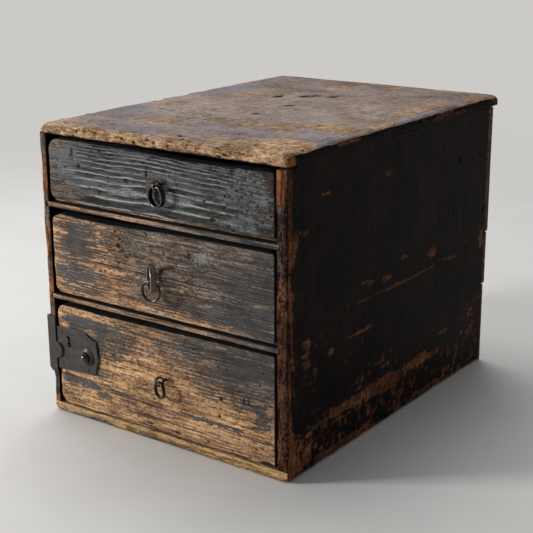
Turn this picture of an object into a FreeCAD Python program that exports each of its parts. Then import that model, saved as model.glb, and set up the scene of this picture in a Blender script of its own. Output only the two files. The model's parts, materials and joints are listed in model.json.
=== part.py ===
import FreeCAD, Part
import math
import os

Vector = FreeCAD.Vector

# Small chest with three drawers for paper and writing things, iron ring pulls and a lock.
# Millimetres. X runs to the right, Y from the front to the back, Z up.
# The origin is the middle of the footprint, on the surface that the chest stands on.

# Case
case_width = 286.0
side_depth = 365.0
left_side_thickness = 8.2
right_side_thickness = 12.6
top_thickness = 10.7
bottom_thickness = 10.0
top_overhang = 9.2
front_finger = 55.0
rear_finger = 66.5
middle_fingers = 3
shelf_thickness = 5.4
shelf_housing = 3.5
shelf_edge_round = 1.2
case_top_left_round = 10.0
case_top_right_round = 3.0
case_bottom_left_round = 4.5
case_bottom_right_round = 5.0
case_front_round = 2.6

# Drawer openings, one above the other
bottom_opening = 108.4
middle_opening = 86.2
top_opening = 65.4

# Back of three boards, nailed on
lower_back_height = 88.0
middle_back_height = 58.0
lower_back_thickness = 5.0
middle_back_thickness = 7.5
upper_back_thickness = 10.0

# Drawers
drawer_side_gap = 2.0
drawer_run_gap = 0.4
drawer_rear_gap = 1.5
drawer_recess = 0.5
front_thickness = 13.0
front_lip = 5.0
front_bottom_gaps = {"bottom": 1.0, "middle": 2.2, "top": 3.0}
front_top_gaps = {"bottom": 3.2, "middle": 3.4, "top": 3.4}
front_top_sag = 2.0
front_top_left_round = 10.0
front_bottom_left_round = 8.0
front_right_round = 2.0
front_edge_bevel = 0.9
drawer_side_thickness = 8.0
drawer_side_drop = 3.0
drawer_back_thickness = 6.5
drawer_bottom_thickness = 5.0

# Wooden pegs and iron nails
peg_sides = 6
nail_sides = 4
nail_head_sides = 6
nail_crown_share = 0.55
case_peg_radius = 2.0
case_peg_length = 28.0
drawer_peg_radius = 1.3
drawer_peg_hold = 9.0
peg_edge_share = 0.15
bottom_pegs_per_side = 4
back_nail_radius = 0.9
back_nail_head_radius = 1.9
back_nail_head = 0.8
back_nail_hold = 14.0
back_nail_inset = 14.0
plate_nail_radius = 0.7
plate_nail_head_radius = 1.3
plate_nail_head = 0.7
plate_nail_hold = 3.8
peg_gap = 0.05

# Ring pulls: an eye of iron strap with two legs through the drawer front, and a ring in it
pull_link_gap = 0.3
pull_leg_thickness = 1.2
pull_leg_gap = 0.3
pull_clench_length = 11.0
pull_slot_gap = 0.1
pull_edge_share = 0.28
pull_leg_share = 0.8
pull_shank_share = 0.75
pulls = {
    "top": dict(
        aside=4.8, drop=-1.5, stand=0.08, eye_turn=11.2, eye_hole=3.3, eye_strap=1.2, eye_width=3.2,
        ring_turn=11.2, ring_aside=0, ring_back=0, ring_rise=0, ring_outside=20.8, ring_strap=1.9,
        ring_width=5.2),
    "middle": dict(
        aside=3.5, drop=-0.34, stand=2.74, eye_turn=-50, eye_hole=10.6, eye_strap=2.8, eye_width=6.0,
        ring_turn=-6, ring_aside=-2.5, ring_back=1.35, ring_rise=4.2, ring_outside=21.6, ring_strap=2.7,
        ring_width=2.9),
    "bottom": dict(
        aside=3.3, drop=-2.9, stand=2.09, eye_turn=19.7, eye_hole=3.4, eye_strap=1.6, eye_width=3.6,
        ring_turn=19.7, ring_aside=0, ring_back=0, ring_rise=0, ring_outside=17.5, ring_strap=1.9,
        ring_width=3.5),
}

# Lock on the left of the bottom drawer, and the catch plate on the case beside it
lock_lift = 36.0
lock_plate_proud = 1.3
lock_plate_width = 54.8
lock_plate_height = 43.5
lock_foot_rise = 2.0
lock_shoulder = 51.8
lock_upper_corner = 38.4
lock_upper_notch = 6.2
lock_lower_shoulder = 49.6
lock_lower_corner = 48.0
lock_lower_notch = 3.6
lock_notch_hollow = 1.2
lock_brace_hollow = 0.5
lock_line = 19.3
lock_gap = 0.3
lock_travel = 4.2
lock_cavity_depth = 10.0
lock_cavity_left = 4.6
lock_cavity_below = 7.0
lock_cavity_top = 35.8
boss_radius = 8.7
boss_height = 2.2
boss_bevel = 0.7
boss_gap = 0.4
bolt_height = 9.0
bolt_thickness = 4.4
bolt_talon_width = 5.0
bolt_talon_depth = 2.5
mortise_depth = 4.0
guide_strap = 0.8
guide_width = 4.0
guide_places = (8.8, 23.8)
button_place = 39.4
button_radius = 5.0
button_height = 7.0
button_dome = 4.0
button_nose_width = 4.4
button_nose_height = 6.0
button_nose_engage = 0.8
collar_radius = 9.0
collar_height = 2.0
collar_rim = 1.0
key_place = 15.7
key_height = 26.8
key_hole_radius = 2.4
key_slot_width = 2.0
key_slot_length = 7.8
key_hook_length = 2.0
key_pin_radius = 0.9
key_pin_foot_radius = 2.4
key_pin_foot = 1.0
spring_strap = 0.7
spring_width = 3.2
spring_reach = 14.0
spring_rise = 4.0
spring_bow_share = 0.75
lock_nail_left = 6.4
lock_nail_right = 40.4
lock_nail_low = 6.8
lock_nail_high = 38.2
catch_lift = 31.6
catch_height = 57.5
catch_thickness = 2.4
catch_cover = 9.1
catch_wrap = 14.0
catch_bend_round = 1.8
catch_chamfer = 4.5

# Heights and planes that follow from these
half_width = case_width / 2
left_inner = -half_width + left_side_thickness
right_inner = half_width - right_side_thickness
side_middles = (-half_width + left_side_thickness / 2, half_width - right_side_thickness / 2)
front = -side_depth / 2
rear = side_depth / 2
lower_shelf_bottom = bottom_thickness + bottom_opening
middle_floor = lower_shelf_bottom + shelf_thickness
upper_shelf_bottom = middle_floor + middle_opening
top_floor = upper_shelf_bottom + shelf_thickness
top_board_bottom = top_floor + top_opening
case_height = top_board_bottom + top_thickness
top_rear = rear + upper_back_thickness + top_overhang
drawer_left = left_inner + drawer_side_gap
drawer_right = right_inner - drawer_side_gap
left_tongue = drawer_left + drawer_side_thickness
right_tongue = drawer_right - drawer_side_thickness
drawer_face = front + drawer_recess
drawer_inside = drawer_face + front_thickness
drawer_lip = drawer_face + front_lip
drawer_rear = rear - drawer_rear_gap
floors = {"bottom": bottom_thickness, "middle": middle_floor, "top": top_floor}
openings = {"bottom": bottom_opening, "middle": middle_opening, "top": top_opening}

nodes = {}


def box(x0, x1, y0, y1, z0, z1):
    return Part.makeBox(x1 - x0, y1 - y0, z1 - z0, Vector(x0, y0, z0))


def prism(points, direction):
    wire = Part.makePolygon(points + [points[0]])
    return Part.Face(wire).extrude(direction)


def pin(start, direction, radius, length):
    return Part.makeCylinder(radius, length, start, direction)


def polygon(centre, way, radius, sides):
    """An even outline across one of the main axes: radius reaches the middle of its sides."""
    right = Vector(way.y, way.z, way.x)
    up = way.cross(right)
    corner = radius / math.cos(math.pi / sides)
    angles = [(count + 0.5) * 2 * math.pi / sides for count in range(sides)]
    return [centre + right * (corner * math.cos(a)) + up * (corner * math.sin(a)) for a in angles]


def rod(start, way, radius, length, sides):
    return prism(polygon(start, way, radius, sides), way * length)


def arc(start, middle, end):
    return Part.Arc(start, middle, end).toShape()


def edges_at_front(shape, y):
    """The edges of a shape that lie in the plane at one depth."""
    margin = 1e-4
    return [e for e in shape.Edges
            if abs(e.BoundBox.YMin - y) < margin and abs(e.BoundBox.YMax - y) < margin]


def panel(x0, x1, z0, z1, y0, y1, rounds, sag=0.0):
    """A board seen from the front: its four corners rounded and its top edge dished by sag."""
    bottom_left, bottom_right, top_right, top_left = rounds
    corner = 1 - math.sqrt(0.5)

    def at(x, z):
        return Vector(x, y0, z)

    wire = Part.Wire([
        Part.makeLine(at(x0 + bottom_left, z0), at(x1 - bottom_right, z0)),
        arc(at(x1 - bottom_right, z0), at(x1 - corner * bottom_right, z0 + corner * bottom_right),
            at(x1, z0 + bottom_right)),
        Part.makeLine(at(x1, z0 + bottom_right), at(x1, z1 - top_right)),
        arc(at(x1, z1 - top_right), at(x1 - corner * top_right, z1 - corner * top_right),
            at(x1 - top_right, z1)),
        arc(at(x1 - top_right, z1), at((x0 + x1) / 2, z1 - sag), at(x0 + top_left, z1))
        if sag else Part.makeLine(at(x1 - top_right, z1), at(x0 + top_left, z1)),
        arc(at(x0 + top_left, z1), at(x0 + corner * top_left, z1 - corner * top_left),
            at(x0, z1 - top_left)),
        Part.makeLine(at(x0, z1 - top_left), at(x0, z0 + bottom_left)),
        arc(at(x0, z0 + bottom_left), at(x0 + corner * bottom_left, z0 + corner * bottom_left),
            at(x0 + bottom_left, z0)),
    ])
    return Part.Face(wire).extrude(Vector(0, y1 - y0, 0))


def finger_spans():
    """Depth of each finger of the corner joints, front to back. The boards and the sides take turns."""
    middle_finger = (side_depth - front_finger - rear_finger) / middle_fingers
    cuts = [front, front + front_finger]
    for _ in range(middle_fingers):
        cuts.append(cuts[-1] + middle_finger)
    cuts.append(rear)
    return list(zip(cuts[:-1], cuts[1:]))


def flat_board(z, thickness, back):
    """Top or bottom board: fingers at both ends, with gaps for the fingers of the sides."""
    left = []
    right = []
    for index, (y0, y1) in enumerate(finger_spans()):
        x0, x1 = (-half_width, half_width) if index % 2 == 0 else (left_inner, right_inner)
        left += [Vector(x0, y0, z), Vector(x0, y1, z)]
        right += [Vector(x1, y0, z), Vector(x1, y1, z)]
    left[-1].y = back
    right[-1].y = back
    return prism(right + left[::-1], Vector(0, 0, thickness))


def side_board(x, thickness):
    """Upright side: its fingers reach through the top and bottom boards, and the shelves are let in."""
    low = []
    high = []
    for index, (y0, y1) in enumerate(finger_spans()):
        z0, z1 = (bottom_thickness, top_board_bottom) if index % 2 == 0 else (0.0, case_height)
        low += [Vector(x, y0, z0), Vector(x, y1, z0)]
        high += [Vector(x, y0, z1), Vector(x, y1, z1)]
    board = prism(low + high[::-1], Vector(thickness, 0, 0))
    return board.cut([shelf_blank(z) for z in (lower_shelf_bottom, upper_shelf_bottom)])


def shelf_blank(z):
    return box(left_inner - shelf_housing, right_inner + shelf_housing, front, rear, z, z + shelf_thickness)


def shelf(z):
    board = shelf_blank(z)
    long_edges = [e for e in edges_at_front(board, front) if e.Length > shelf_thickness]
    return board.makeFillet(shelf_edge_round, long_edges)


def case_envelope():
    """The worn outer form that all boards of the case share."""
    rounds = (case_bottom_left_round, case_bottom_right_round, case_top_right_round, case_top_left_round)
    block = panel(-half_width, half_width, 0.0, case_height, front, top_rear, rounds)
    return block.makeFillet(case_front_round, edges_at_front(block, front))


def case_pegs(z, up):
    """Pegs through the board fingers into the ends of the sides, from the outer face inwards."""
    way = Vector(0, 0, up)
    pegs = []
    holes = []
    for y0, y1 in finger_spans()[::2]:
        for x in side_middles:
            start = Vector(x, (y0 + y1) / 2, z)
            pegs.append(rod(start, way, case_peg_radius, case_peg_length, peg_sides))
            holes.append(rod(start, way, case_peg_radius + peg_gap, case_peg_length, peg_sides))
    return pegs, holes


def nail(start, way, radius, hold, head_radius, head):
    """A forged nail: square shank, hammered head. It is driven along way, and start is under the head."""
    foot = polygon(start, way, head_radius, nail_head_sides)
    crown = polygon(start - way * head, way, nail_crown_share * head_radius, nail_head_sides)
    outlines = [Part.makePolygon(points + [points[0]]) for points in (foot, crown)]
    cap = Part.makeLoft(outlines, True, True)
    hole = rod(start, way, radius + peg_gap, hold, nail_sides)
    return cap.fuse(rod(start, way, radius, hold, nail_sides)), hole


def build_case():
    envelope = case_envelope()
    top = flat_board(top_board_bottom, top_thickness, top_rear)
    bottom = flat_board(0.0, bottom_thickness, rear)
    left = side_board(-half_width, left_side_thickness)
    right = side_board(right_inner, right_side_thickness)

    top_pegs, top_holes = case_pegs(case_height, -1)
    bottom_pegs, bottom_holes = case_pegs(0.0, 1)
    holes = top_holes + bottom_holes
    nodes["top_pegs"] = Part.makeCompound([p.common(envelope) for p in top_pegs])
    nodes["bottom_pegs"] = Part.makeCompound([p.common(envelope) for p in bottom_pegs])

    back_holes = build_back()
    y0, y1, z0, z1 = bolt_mortise()
    left = left.cut(box(left_inner - mortise_depth, left_inner, y0, y1, z0, z1))
    catch_holes = build_catch()
    nodes["top_board"] = top.common(envelope).cut(top_holes)
    nodes["bottom_board"] = bottom.common(envelope).cut(bottom_holes)
    nodes["left_side"] = left.common(envelope).cut(holes + back_holes + catch_holes)
    nodes["right_side"] = right.common(envelope).cut(holes + back_holes)
    nodes["lower_shelf"] = shelf(lower_shelf_bottom)
    nodes["upper_shelf"] = shelf(upper_shelf_bottom)


def build_back():
    """Three boards across the back, each nailed to the rear edges of the sides."""
    middle_z = lower_back_height + middle_back_height
    boards = (
        ("lower_back_board", 0.0, lower_back_height, lower_back_thickness),
        ("middle_back_board", lower_back_height, middle_z, middle_back_thickness),
        ("upper_back_board", middle_z, top_board_bottom, upper_back_thickness),
    )
    nails = []
    all_holes = []
    for name, z0, z1, thickness in boards:
        board = box(-half_width, half_width, rear, rear + thickness, z0, z1)
        holes = []
        for x in side_middles:
            for z in (z0 + back_nail_inset, z1 - back_nail_inset):
                spike, hole = nail(Vector(x, rear + thickness, z), Vector(0, -1, 0), back_nail_radius,
                                   thickness + back_nail_hold, back_nail_head_radius, back_nail_head)
                nails.append(spike)
                holes.append(hole)
        nodes[name] = board.cut(holes)
        all_holes += holes
    nodes["back_nails"] = Part.makeCompound(nails)
    return all_holes


def drawer_heights(name):
    """Lowest and highest edge of a drawer front."""
    return floors[name] + front_bottom_gaps[name], floors[name] + openings[name] - front_top_gaps[name]


def drawer_front(name):
    """Front board: rebated at its ends for the sides and along its foot for the bottom."""
    z0, z1 = drawer_heights(name)
    rounds = (front_bottom_left_round, front_right_round, front_right_round, front_top_left_round)
    board = panel(drawer_left, drawer_right, z0, z1, drawer_face, drawer_inside, rounds, front_top_sag)
    board = board.makeChamfer(front_edge_bevel, edges_at_front(board, drawer_face))
    bottom_top = floors[name] + drawer_run_gap + drawer_bottom_thickness
    rebates = [
        box(drawer_left, left_tongue, drawer_lip, drawer_inside, z0, z1),
        box(right_tongue, drawer_right, drawer_lip, drawer_inside, z0, z1),
        box(drawer_left, drawer_right, drawer_lip, drawer_inside, z0, bottom_top),
    ]
    return board.cut(rebates)


def build_drawer(name):
    z0, z1 = drawer_heights(name)
    under = floors[name] + drawer_run_gap
    foot = under + drawer_bottom_thickness
    rim = z1 - front_top_sag - drawer_side_drop
    board_front = drawer_front(name)
    left = box(drawer_left, left_tongue, drawer_lip, drawer_rear, foot, rim)
    right = box(right_tongue, drawer_right, drawer_lip, drawer_rear, foot, rim)
    back = box(left_tongue, right_tongue, drawer_rear - drawer_back_thickness, drawer_rear, foot, rim)
    bottom = box(drawer_left, drawer_right, drawer_lip, drawer_rear, under, foot)

    pegs = []
    holes = []

    def drive(start, way, length):
        pegs.append(rod(start, way, drawer_peg_radius, length, peg_sides))
        holes.append(rod(start, way, drawer_peg_radius + peg_gap, length, peg_sides))

    peg_rows = (foot + peg_edge_share * (rim - foot), rim - peg_edge_share * (rim - foot))
    for x, way in ((drawer_left, Vector(1, 0, 0)), (drawer_right, Vector(-1, 0, 0))):
        for z in peg_rows:
            for y in ((drawer_lip + drawer_inside) / 2, drawer_rear - drawer_back_thickness / 2):
                drive(Vector(x, y, z), way, drawer_side_thickness + drawer_peg_hold)
    step = (drawer_rear - drawer_inside) / bottom_pegs_per_side
    for x in (drawer_left + drawer_side_thickness / 2, drawer_right - drawer_side_thickness / 2):
        for count in range(bottom_pegs_per_side):
            start = Vector(x, drawer_inside + (count + 0.5) * step, under)
            drive(start, Vector(0, 0, 1), drawer_bottom_thickness + drawer_peg_hold)

    slot = build_pull(name, (z0 + z1) / 2)
    cuts = holes + [slot]
    if name == "bottom":
        cuts += build_lock()
    nodes[name + "_drawer_front"] = board_front.cut(cuts)
    nodes[name + "_drawer_left_side"] = left.cut(cuts)
    nodes[name + "_drawer_right_side"] = right.cut(holes)
    nodes[name + "_drawer_back"] = back.cut(holes)
    nodes[name + "_drawer_bottom"] = bottom.cut(holes)
    nodes[name + "_drawer_pegs"] = Part.makeCompound(pegs)


def tube(centre, axis, outer, inner, width, edge):
    """A ring of flat strap with its edges bevelled."""
    start = centre - axis * (width / 2)
    ring = Part.makeCylinder(outer, width, start, axis).cut(Part.makeCylinder(inner, width, start, axis))
    rims = [e for e in ring.Edges if len(e.Vertexes) == 1]
    return ring.makeChamfer(edge, rims)


def across(turn):
    """Level direction along the front, turned about the vertical by an angle in degrees."""
    return Vector(math.cos(math.radians(turn)), -math.sin(math.radians(turn)), 0)


def build_pull(name, middle):
    """Eye with its legs clenched behind the front, and the ring that hangs in it. Returns the leg slot."""
    p = pulls[name]
    along = across(p["ring_turn"])
    outward = Vector(along.y, -along.x, 0)
    eye_axis = across(p["eye_turn"])
    back = Vector(-eye_axis.y, eye_axis.x, 0)
    eye_outer = p["eye_hole"] + p["eye_strap"]
    reach = eye_outer * back.y + p["eye_width"] / 2 * abs(eye_axis.y)
    eye = Vector(p["aside"], drawer_face - p["stand"] - reach, middle - p["drop"])

    staple = tube(eye, eye_axis, eye_outer, p["eye_hole"], p["eye_width"], pull_edge_share * p["eye_strap"])
    shank = eye + back * (p["eye_hole"] + pull_shank_share * p["eye_strap"])
    leg_start = shank.y
    half_leg = pull_leg_share * p["eye_width"] / 2
    leg_x = shank.x - half_leg
    split = pull_leg_gap / 2
    for up in (1, -1):
        inner_z = eye.z + up * split
        outer_z = inner_z + up * pull_leg_thickness
        tip_z = outer_z + up * pull_clench_length
        leg = [
            Vector(leg_x, leg_start, inner_z),
            Vector(leg_x, drawer_inside + pull_leg_thickness, inner_z),
            Vector(leg_x, drawer_inside + pull_leg_thickness, tip_z),
            Vector(leg_x, drawer_inside, tip_z),
            Vector(leg_x, drawer_inside, outer_z),
            Vector(leg_x, leg_start, outer_z),
        ]
        staple = staple.fuse(prism(leg, Vector(2 * half_leg, 0, 0)))
    nodes[name + "_pull_staple"] = staple

    half_bar = math.hypot(p["ring_strap"], p["ring_width"]) / 2
    ring_radius = (p["ring_outside"] - p["ring_strap"]) / 2
    bend = (p["eye_width"] / 2) ** 2 / (2 * ring_radius)
    hang = p["eye_hole"] - half_bar - bend - pull_link_gap - p["ring_rise"]
    hinge = eye + Vector(p["ring_aside"], p["ring_back"], -hang)
    ring = tube(hinge - Vector(0, 0, ring_radius), outward, p["ring_outside"] / 2,
                p["ring_outside"] / 2 - p["ring_strap"], p["ring_width"], pull_edge_share * p["ring_strap"])
    nodes[name + "_pull_ring"] = ring
    print(name, "ring hinge", [round(v, 3) for v in hinge], "axis", [round(v, 5) for v in along])

    half_slot = half_leg + pull_slot_gap
    tall = split + pull_leg_thickness + pull_slot_gap
    return box(shank.x - half_slot, shank.x + half_slot, drawer_face, drawer_inside,
               eye.z - tall, eye.z + tall)


def lock_planes():
    """Left edge, foot and height of the bolt of the lock, and the bolt's front and rear faces."""
    left = drawer_left
    foot = drawer_heights("bottom")[0] + lock_lift
    bolt_rear = drawer_face + lock_cavity_depth - guide_strap - 2 * lock_gap
    return left, foot, foot + lock_line, bolt_rear - bolt_thickness, bolt_rear


def bolt_mortise():
    """Depth and height of the hole that the bolt enters in the case side."""
    left, foot, line, bolt_front, bolt_rear = lock_planes()
    reach = bolt_height / 2 + lock_gap
    return bolt_front - lock_gap, bolt_rear + lock_gap, line - reach, line + reach


def lock_outline(left, foot, y):
    """Lock plate: straight on the left, a hollow upper corner and a brace with its point on the right."""
    def at(x, z):
        return Vector(left + x, y, foot + z)

    def hollow(start, end, depth):
        run = end - start
        return arc(start, (start + end) / 2 + Vector(-run.z, 0, run.x) * (depth / run.Length), end)

    lower_corner = at(lock_lower_corner, lock_foot_rise)
    lower_shoulder = at(lock_lower_shoulder, lock_lower_notch)
    point = at(lock_plate_width, lock_line)
    shoulder = at(lock_shoulder, lock_plate_height - lock_upper_notch)
    upper_corner = at(lock_upper_corner, lock_plate_height)
    return Part.Wire([
        Part.makeLine(at(0, 0), lower_corner),
        Part.makeLine(lower_corner, lower_shoulder),
        hollow(lower_shoulder, point, lock_brace_hollow),
        hollow(point, shoulder, lock_brace_hollow),
        hollow(shoulder, upper_corner, lock_notch_hollow),
        Part.makeLine(upper_corner, at(0, lock_plate_height)),
        Part.makeLine(at(0, lock_plate_height), at(0, 0)),
    ])


def keyhole(x, z, y0, y1):
    """Round hole with a slot above it that hooks to the left."""
    top = z + key_slot_length
    half = key_slot_width / 2
    way = Vector(0, 1, 0)
    depth = y1 - y0
    pieces = [
        box(x - half, x + half, y0, y1, z, top),
        box(x - key_hook_length, x, y0, y1, top - half, top + half),
        pin(Vector(x, y0, top), way, half, depth),
        pin(Vector(x - key_hook_length, y0, top), way, half, depth),
    ]
    return pin(Vector(x, y0, z), way, key_hole_radius, depth).fuse(pieces)


def turned(points, x, z):
    """A round piece with its axis along Y: points are (radius, y)."""
    outline = [Vector(x + r, y, z) for r, y in points]
    face = Part.Face(Part.makePolygon(outline + [outline[0]]))
    return face.revolve(Vector(x, 0, z), Vector(0, 1, 0), 360)


def build_lock():
    """The lock's pieces. Returns what is cut from the drawer front and side for them."""
    left, foot, line, bolt_front, bolt_rear = lock_planes()
    plate_thickness = drawer_recess + lock_plate_proud
    plate_face = drawer_face - plate_thickness
    button_x = left + button_place
    key_x = left + key_place
    key_z = foot + key_height
    cavity_floor = drawer_face + lock_cavity_depth
    nose_half = button_nose_width / 2
    nose_tip = bolt_front + button_nose_engage
    bore = button_radius + lock_gap

    # Plate with the raised half-round boss that closes the gap to the catch plate
    plate = Part.Face(lock_outline(left, foot, plate_face)).extrude(Vector(0, plate_thickness, 0))
    boss_x = -half_width + catch_cover + boss_gap
    boss_ends = (Vector(boss_x, plate_face, line - boss_radius), Vector(boss_x, plate_face, line + boss_radius))
    boss_edge = arc(boss_ends[0], Vector(boss_x + boss_radius, plate_face, line), boss_ends[1])
    boss_wire = Part.Wire([boss_edge, Part.makeLine(boss_ends[1], boss_ends[0])])
    boss = Part.Face(boss_wire).extrude(Vector(0, -boss_height, 0))
    boss = boss.makeChamfer(boss_bevel, edges_at_front(boss, plate_face - boss_height))
    plate = plate.fuse(boss).removeSplitter()

    nails = []
    nail_holes = []
    for x in (lock_nail_left, lock_nail_right):
        for z in (lock_nail_low, lock_nail_high):
            spike, hole = nail(Vector(left + x, plate_face, foot + z), Vector(0, 1, 0), plate_nail_radius,
                               plate_thickness + plate_nail_hold, plate_nail_head_radius, plate_nail_head)
            nails.append(spike)
            nail_holes.append(hole)
    nodes["lock_nails"] = Part.makeCompound(nails)

    button_hole = pin(Vector(button_x, plate_face, line), Vector(0, 1, 0), bore, plate_thickness)
    key_hole = keyhole(key_x, key_z, plate_face, drawer_face)
    nodes["lock_plate"] = plate.cut(nail_holes + [button_hole, key_hole])

    nodes["lock_collar"] = turned([
        (bore, plate_face), (collar_radius, plate_face), (collar_radius, plate_face - collar_rim / 2),
        (collar_radius - collar_rim, plate_face - collar_height / 2),
        (bore + collar_rim, plate_face - collar_height), (bore, plate_face - collar_height)], button_x, line)

    # Push button: a domed head, and a nose with a sloped end that drives the bolt
    head_end = bolt_front - lock_gap - lock_travel
    dome_start = plate_face - button_height + button_dome
    rim_point = Vector(button_x + button_radius, dome_start, line)
    tip_point = Vector(button_x, plate_face - button_height, line)
    dome_radius = (button_radius ** 2 + button_dome ** 2) / (2 * button_dome)
    dome_half = math.asin(button_radius / dome_radius) / 2
    bulge = tip_point + Vector(dome_radius * math.sin(dome_half), dome_radius * (1 - math.cos(dome_half)), 0)
    head_wire = Part.Wire([
        arc(tip_point, bulge, rim_point),
        Part.makeLine(rim_point, Vector(button_x + button_radius, head_end, line)),
        Part.makeLine(Vector(button_x + button_radius, head_end, line), Vector(button_x, head_end, line)),
        Part.makeLine(Vector(button_x, head_end, line), tip_point),
    ])
    head = Part.Face(head_wire).revolve(Vector(button_x, 0, line), Vector(0, 1, 0), 360)
    low = line - button_nose_height / 2
    nose = prism([
        Vector(button_x - nose_half, head_end, low), Vector(button_x + nose_half, head_end, low),
        Vector(button_x + nose_half, nose_tip, low),
        Vector(button_x - nose_half, nose_tip - button_nose_width, low)], Vector(0, 0, button_nose_height))
    nodes["lock_button"] = head.fuse(nose)

    # Bolt: its tail slopes as the nose does, a little way off it
    slope_gap = lock_gap * math.sqrt(2)
    tail = button_x + nose_half - slope_gap - button_nose_engage
    bolt_low = line - bolt_height / 2
    bolt = prism([
        Vector(left + lock_gap, bolt_front, bolt_low), Vector(tail, bolt_front, bolt_low),
        Vector(tail + bolt_thickness, bolt_rear, bolt_low), Vector(left + lock_gap, bolt_rear, bolt_low)],
        Vector(0, 0, bolt_height))
    talon = box(key_x - bolt_talon_width / 2, key_x + bolt_talon_width / 2, bolt_front, bolt_rear,
                line + bolt_height / 2 - bolt_talon_depth, line + bolt_height / 2)
    nodes["lock_bolt"] = bolt.cut(talon)

    # Guides: straps bent round the bolt, riveted to the back of the plate
    inner = bolt_height / 2 + lock_gap
    outer = inner + guide_strap
    guides = []
    for place in guide_places:
        x0 = left + place - guide_width / 2
        strap = box(x0, x0 + guide_width, drawer_face, bolt_rear + lock_gap + guide_strap,
                    line - outer, line + outer)
        guides.append(strap.cut(box(x0, x0 + guide_width, drawer_face, bolt_rear + lock_gap,
                                    line - inner, line + inner)))
    nodes["lock_bolt_guides"] = Part.makeCompound(guides)

    # Pin that the hollow key turns on
    nodes["keyhole_pin"] = turned([
        (0, cavity_floor), (key_pin_foot_radius, cavity_floor),
        (key_pin_foot_radius, cavity_floor - key_pin_foot), (key_pin_radius, cavity_floor - key_pin_foot),
        (key_pin_radius, plate_face), (0, plate_face)], key_x, key_z)

    # Leaf spring above the bolt, from the right wall of the cavity
    cavity_right = tail + bolt_thickness + 2 * lock_gap
    spring_end = line + bolt_height / 2 + lock_gap
    spring_y = (bolt_front + bolt_rear - spring_width) / 2
    lower = [Vector(cavity_right, spring_y, spring_end + spring_rise),
             Vector(cavity_right - spring_reach / 2, spring_y, spring_end + spring_bow_share * spring_rise),
             Vector(cavity_right - spring_reach, spring_y, spring_end)]
    lift = Vector(0, 0, spring_strap)
    upper = [p + lift for p in lower]
    spring_wire = Part.Wire([
        arc(*lower), Part.makeLine(lower[2], upper[2]), arc(*upper[::-1]), Part.makeLine(upper[0], lower[0])])
    nodes["lock_spring"] = Part.Face(spring_wire).extrude(Vector(0, spring_width, 0))

    y0, y1, z0, z1 = bolt_mortise()
    cavity = box(left + lock_cavity_left, cavity_right, drawer_face, cavity_floor,
                 line - lock_cavity_below, foot + lock_cavity_top)
    passage = box(left, left + lock_cavity_left, y0, y1, z0, z1)
    return [cavity, passage] + nail_holes


def build_catch():
    """Iron plate bent round the front edge of the case side, where the bolt enters."""
    z0 = drawer_heights("bottom")[0] + catch_lift
    z1 = z0 + catch_height
    outer = -half_width - catch_thickness
    inner_edge = -half_width + catch_cover
    bend = prism([
        Vector(outer, front - catch_thickness, z0), Vector(inner_edge, front - catch_thickness, z0),
        Vector(inner_edge, front, z0), Vector(-half_width, front, z0),
        Vector(-half_width, front + catch_wrap, z0), Vector(outer, front + catch_wrap, z0)],
        Vector(0, 0, catch_height))
    corner = [e for e in bend.Edges if abs(e.BoundBox.XMax - outer) < 1e-4
              and abs(e.BoundBox.YMax - front + catch_thickness) < 1e-4 and e.Length > catch_height / 2]
    bend = bend.makeFillet(catch_bend_round, corner)
    outline = prism([
        Vector(outer, front - catch_thickness, z1), Vector(inner_edge, front - catch_thickness, z1),
        Vector(inner_edge, front - catch_thickness, z0),
        Vector(outer + catch_chamfer, front - catch_thickness, z0),
        Vector(outer, front - catch_thickness, z0 + catch_chamfer)],
        Vector(0, catch_thickness + catch_wrap, 0))
    plate = bend.common(outline)
    nails = []
    holes = []
    for z in (z0 + catch_height / 4, z1 - catch_height / 4):
        spike, hole = nail(Vector(outer, front + catch_wrap / 2, z), Vector(1, 0, 0), plate_nail_radius,
                           catch_thickness + plate_nail_hold, plate_nail_head_radius, plate_nail_head)
        nails.append(spike)
        holes.append(hole)
    nodes["catch_plate"] = plate.cut(holes)
    nodes["catch_nails"] = Part.makeCompound(nails)
    return holes


build_case()
for drawer_name in ("top", "middle", "bottom"):
    build_drawer(drawer_name)

os.makedirs("parts", exist_ok=True)
for node_name, shape in nodes.items():
    shape.exportStep(os.path.join("parts", node_name + ".step"))
print(len(nodes), "nodes,", sum(len(s.Solids) for s in nodes.values()), "solids, height", case_height)
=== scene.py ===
import json
import math

import bpy
import numpy as np
from mathutils import Matrix, Vector


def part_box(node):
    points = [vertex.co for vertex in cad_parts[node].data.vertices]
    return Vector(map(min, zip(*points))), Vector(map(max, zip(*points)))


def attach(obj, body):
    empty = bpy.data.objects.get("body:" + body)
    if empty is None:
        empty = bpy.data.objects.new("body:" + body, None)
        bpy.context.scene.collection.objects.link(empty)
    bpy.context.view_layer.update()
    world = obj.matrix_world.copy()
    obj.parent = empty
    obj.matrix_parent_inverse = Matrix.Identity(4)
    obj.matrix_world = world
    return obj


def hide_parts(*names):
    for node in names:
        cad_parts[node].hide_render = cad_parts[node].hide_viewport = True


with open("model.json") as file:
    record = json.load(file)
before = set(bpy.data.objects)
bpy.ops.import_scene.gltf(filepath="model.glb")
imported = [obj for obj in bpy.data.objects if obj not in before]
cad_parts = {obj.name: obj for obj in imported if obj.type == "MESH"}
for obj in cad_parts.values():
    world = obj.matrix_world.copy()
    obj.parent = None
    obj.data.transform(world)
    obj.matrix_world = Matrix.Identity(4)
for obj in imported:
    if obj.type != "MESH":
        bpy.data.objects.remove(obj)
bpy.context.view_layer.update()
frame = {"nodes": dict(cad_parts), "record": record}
scene = bpy.context.scene

# Lengths below are millimetres in the frame of the solids. The meshes are written in metres.
MM = 0.001
# The least length to divide by, and how near to a plane a point counts as lying in it
TINY, FLUSH = 1e-9, 1e-3
SHARP_ANGLE = math.radians(55)


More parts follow.
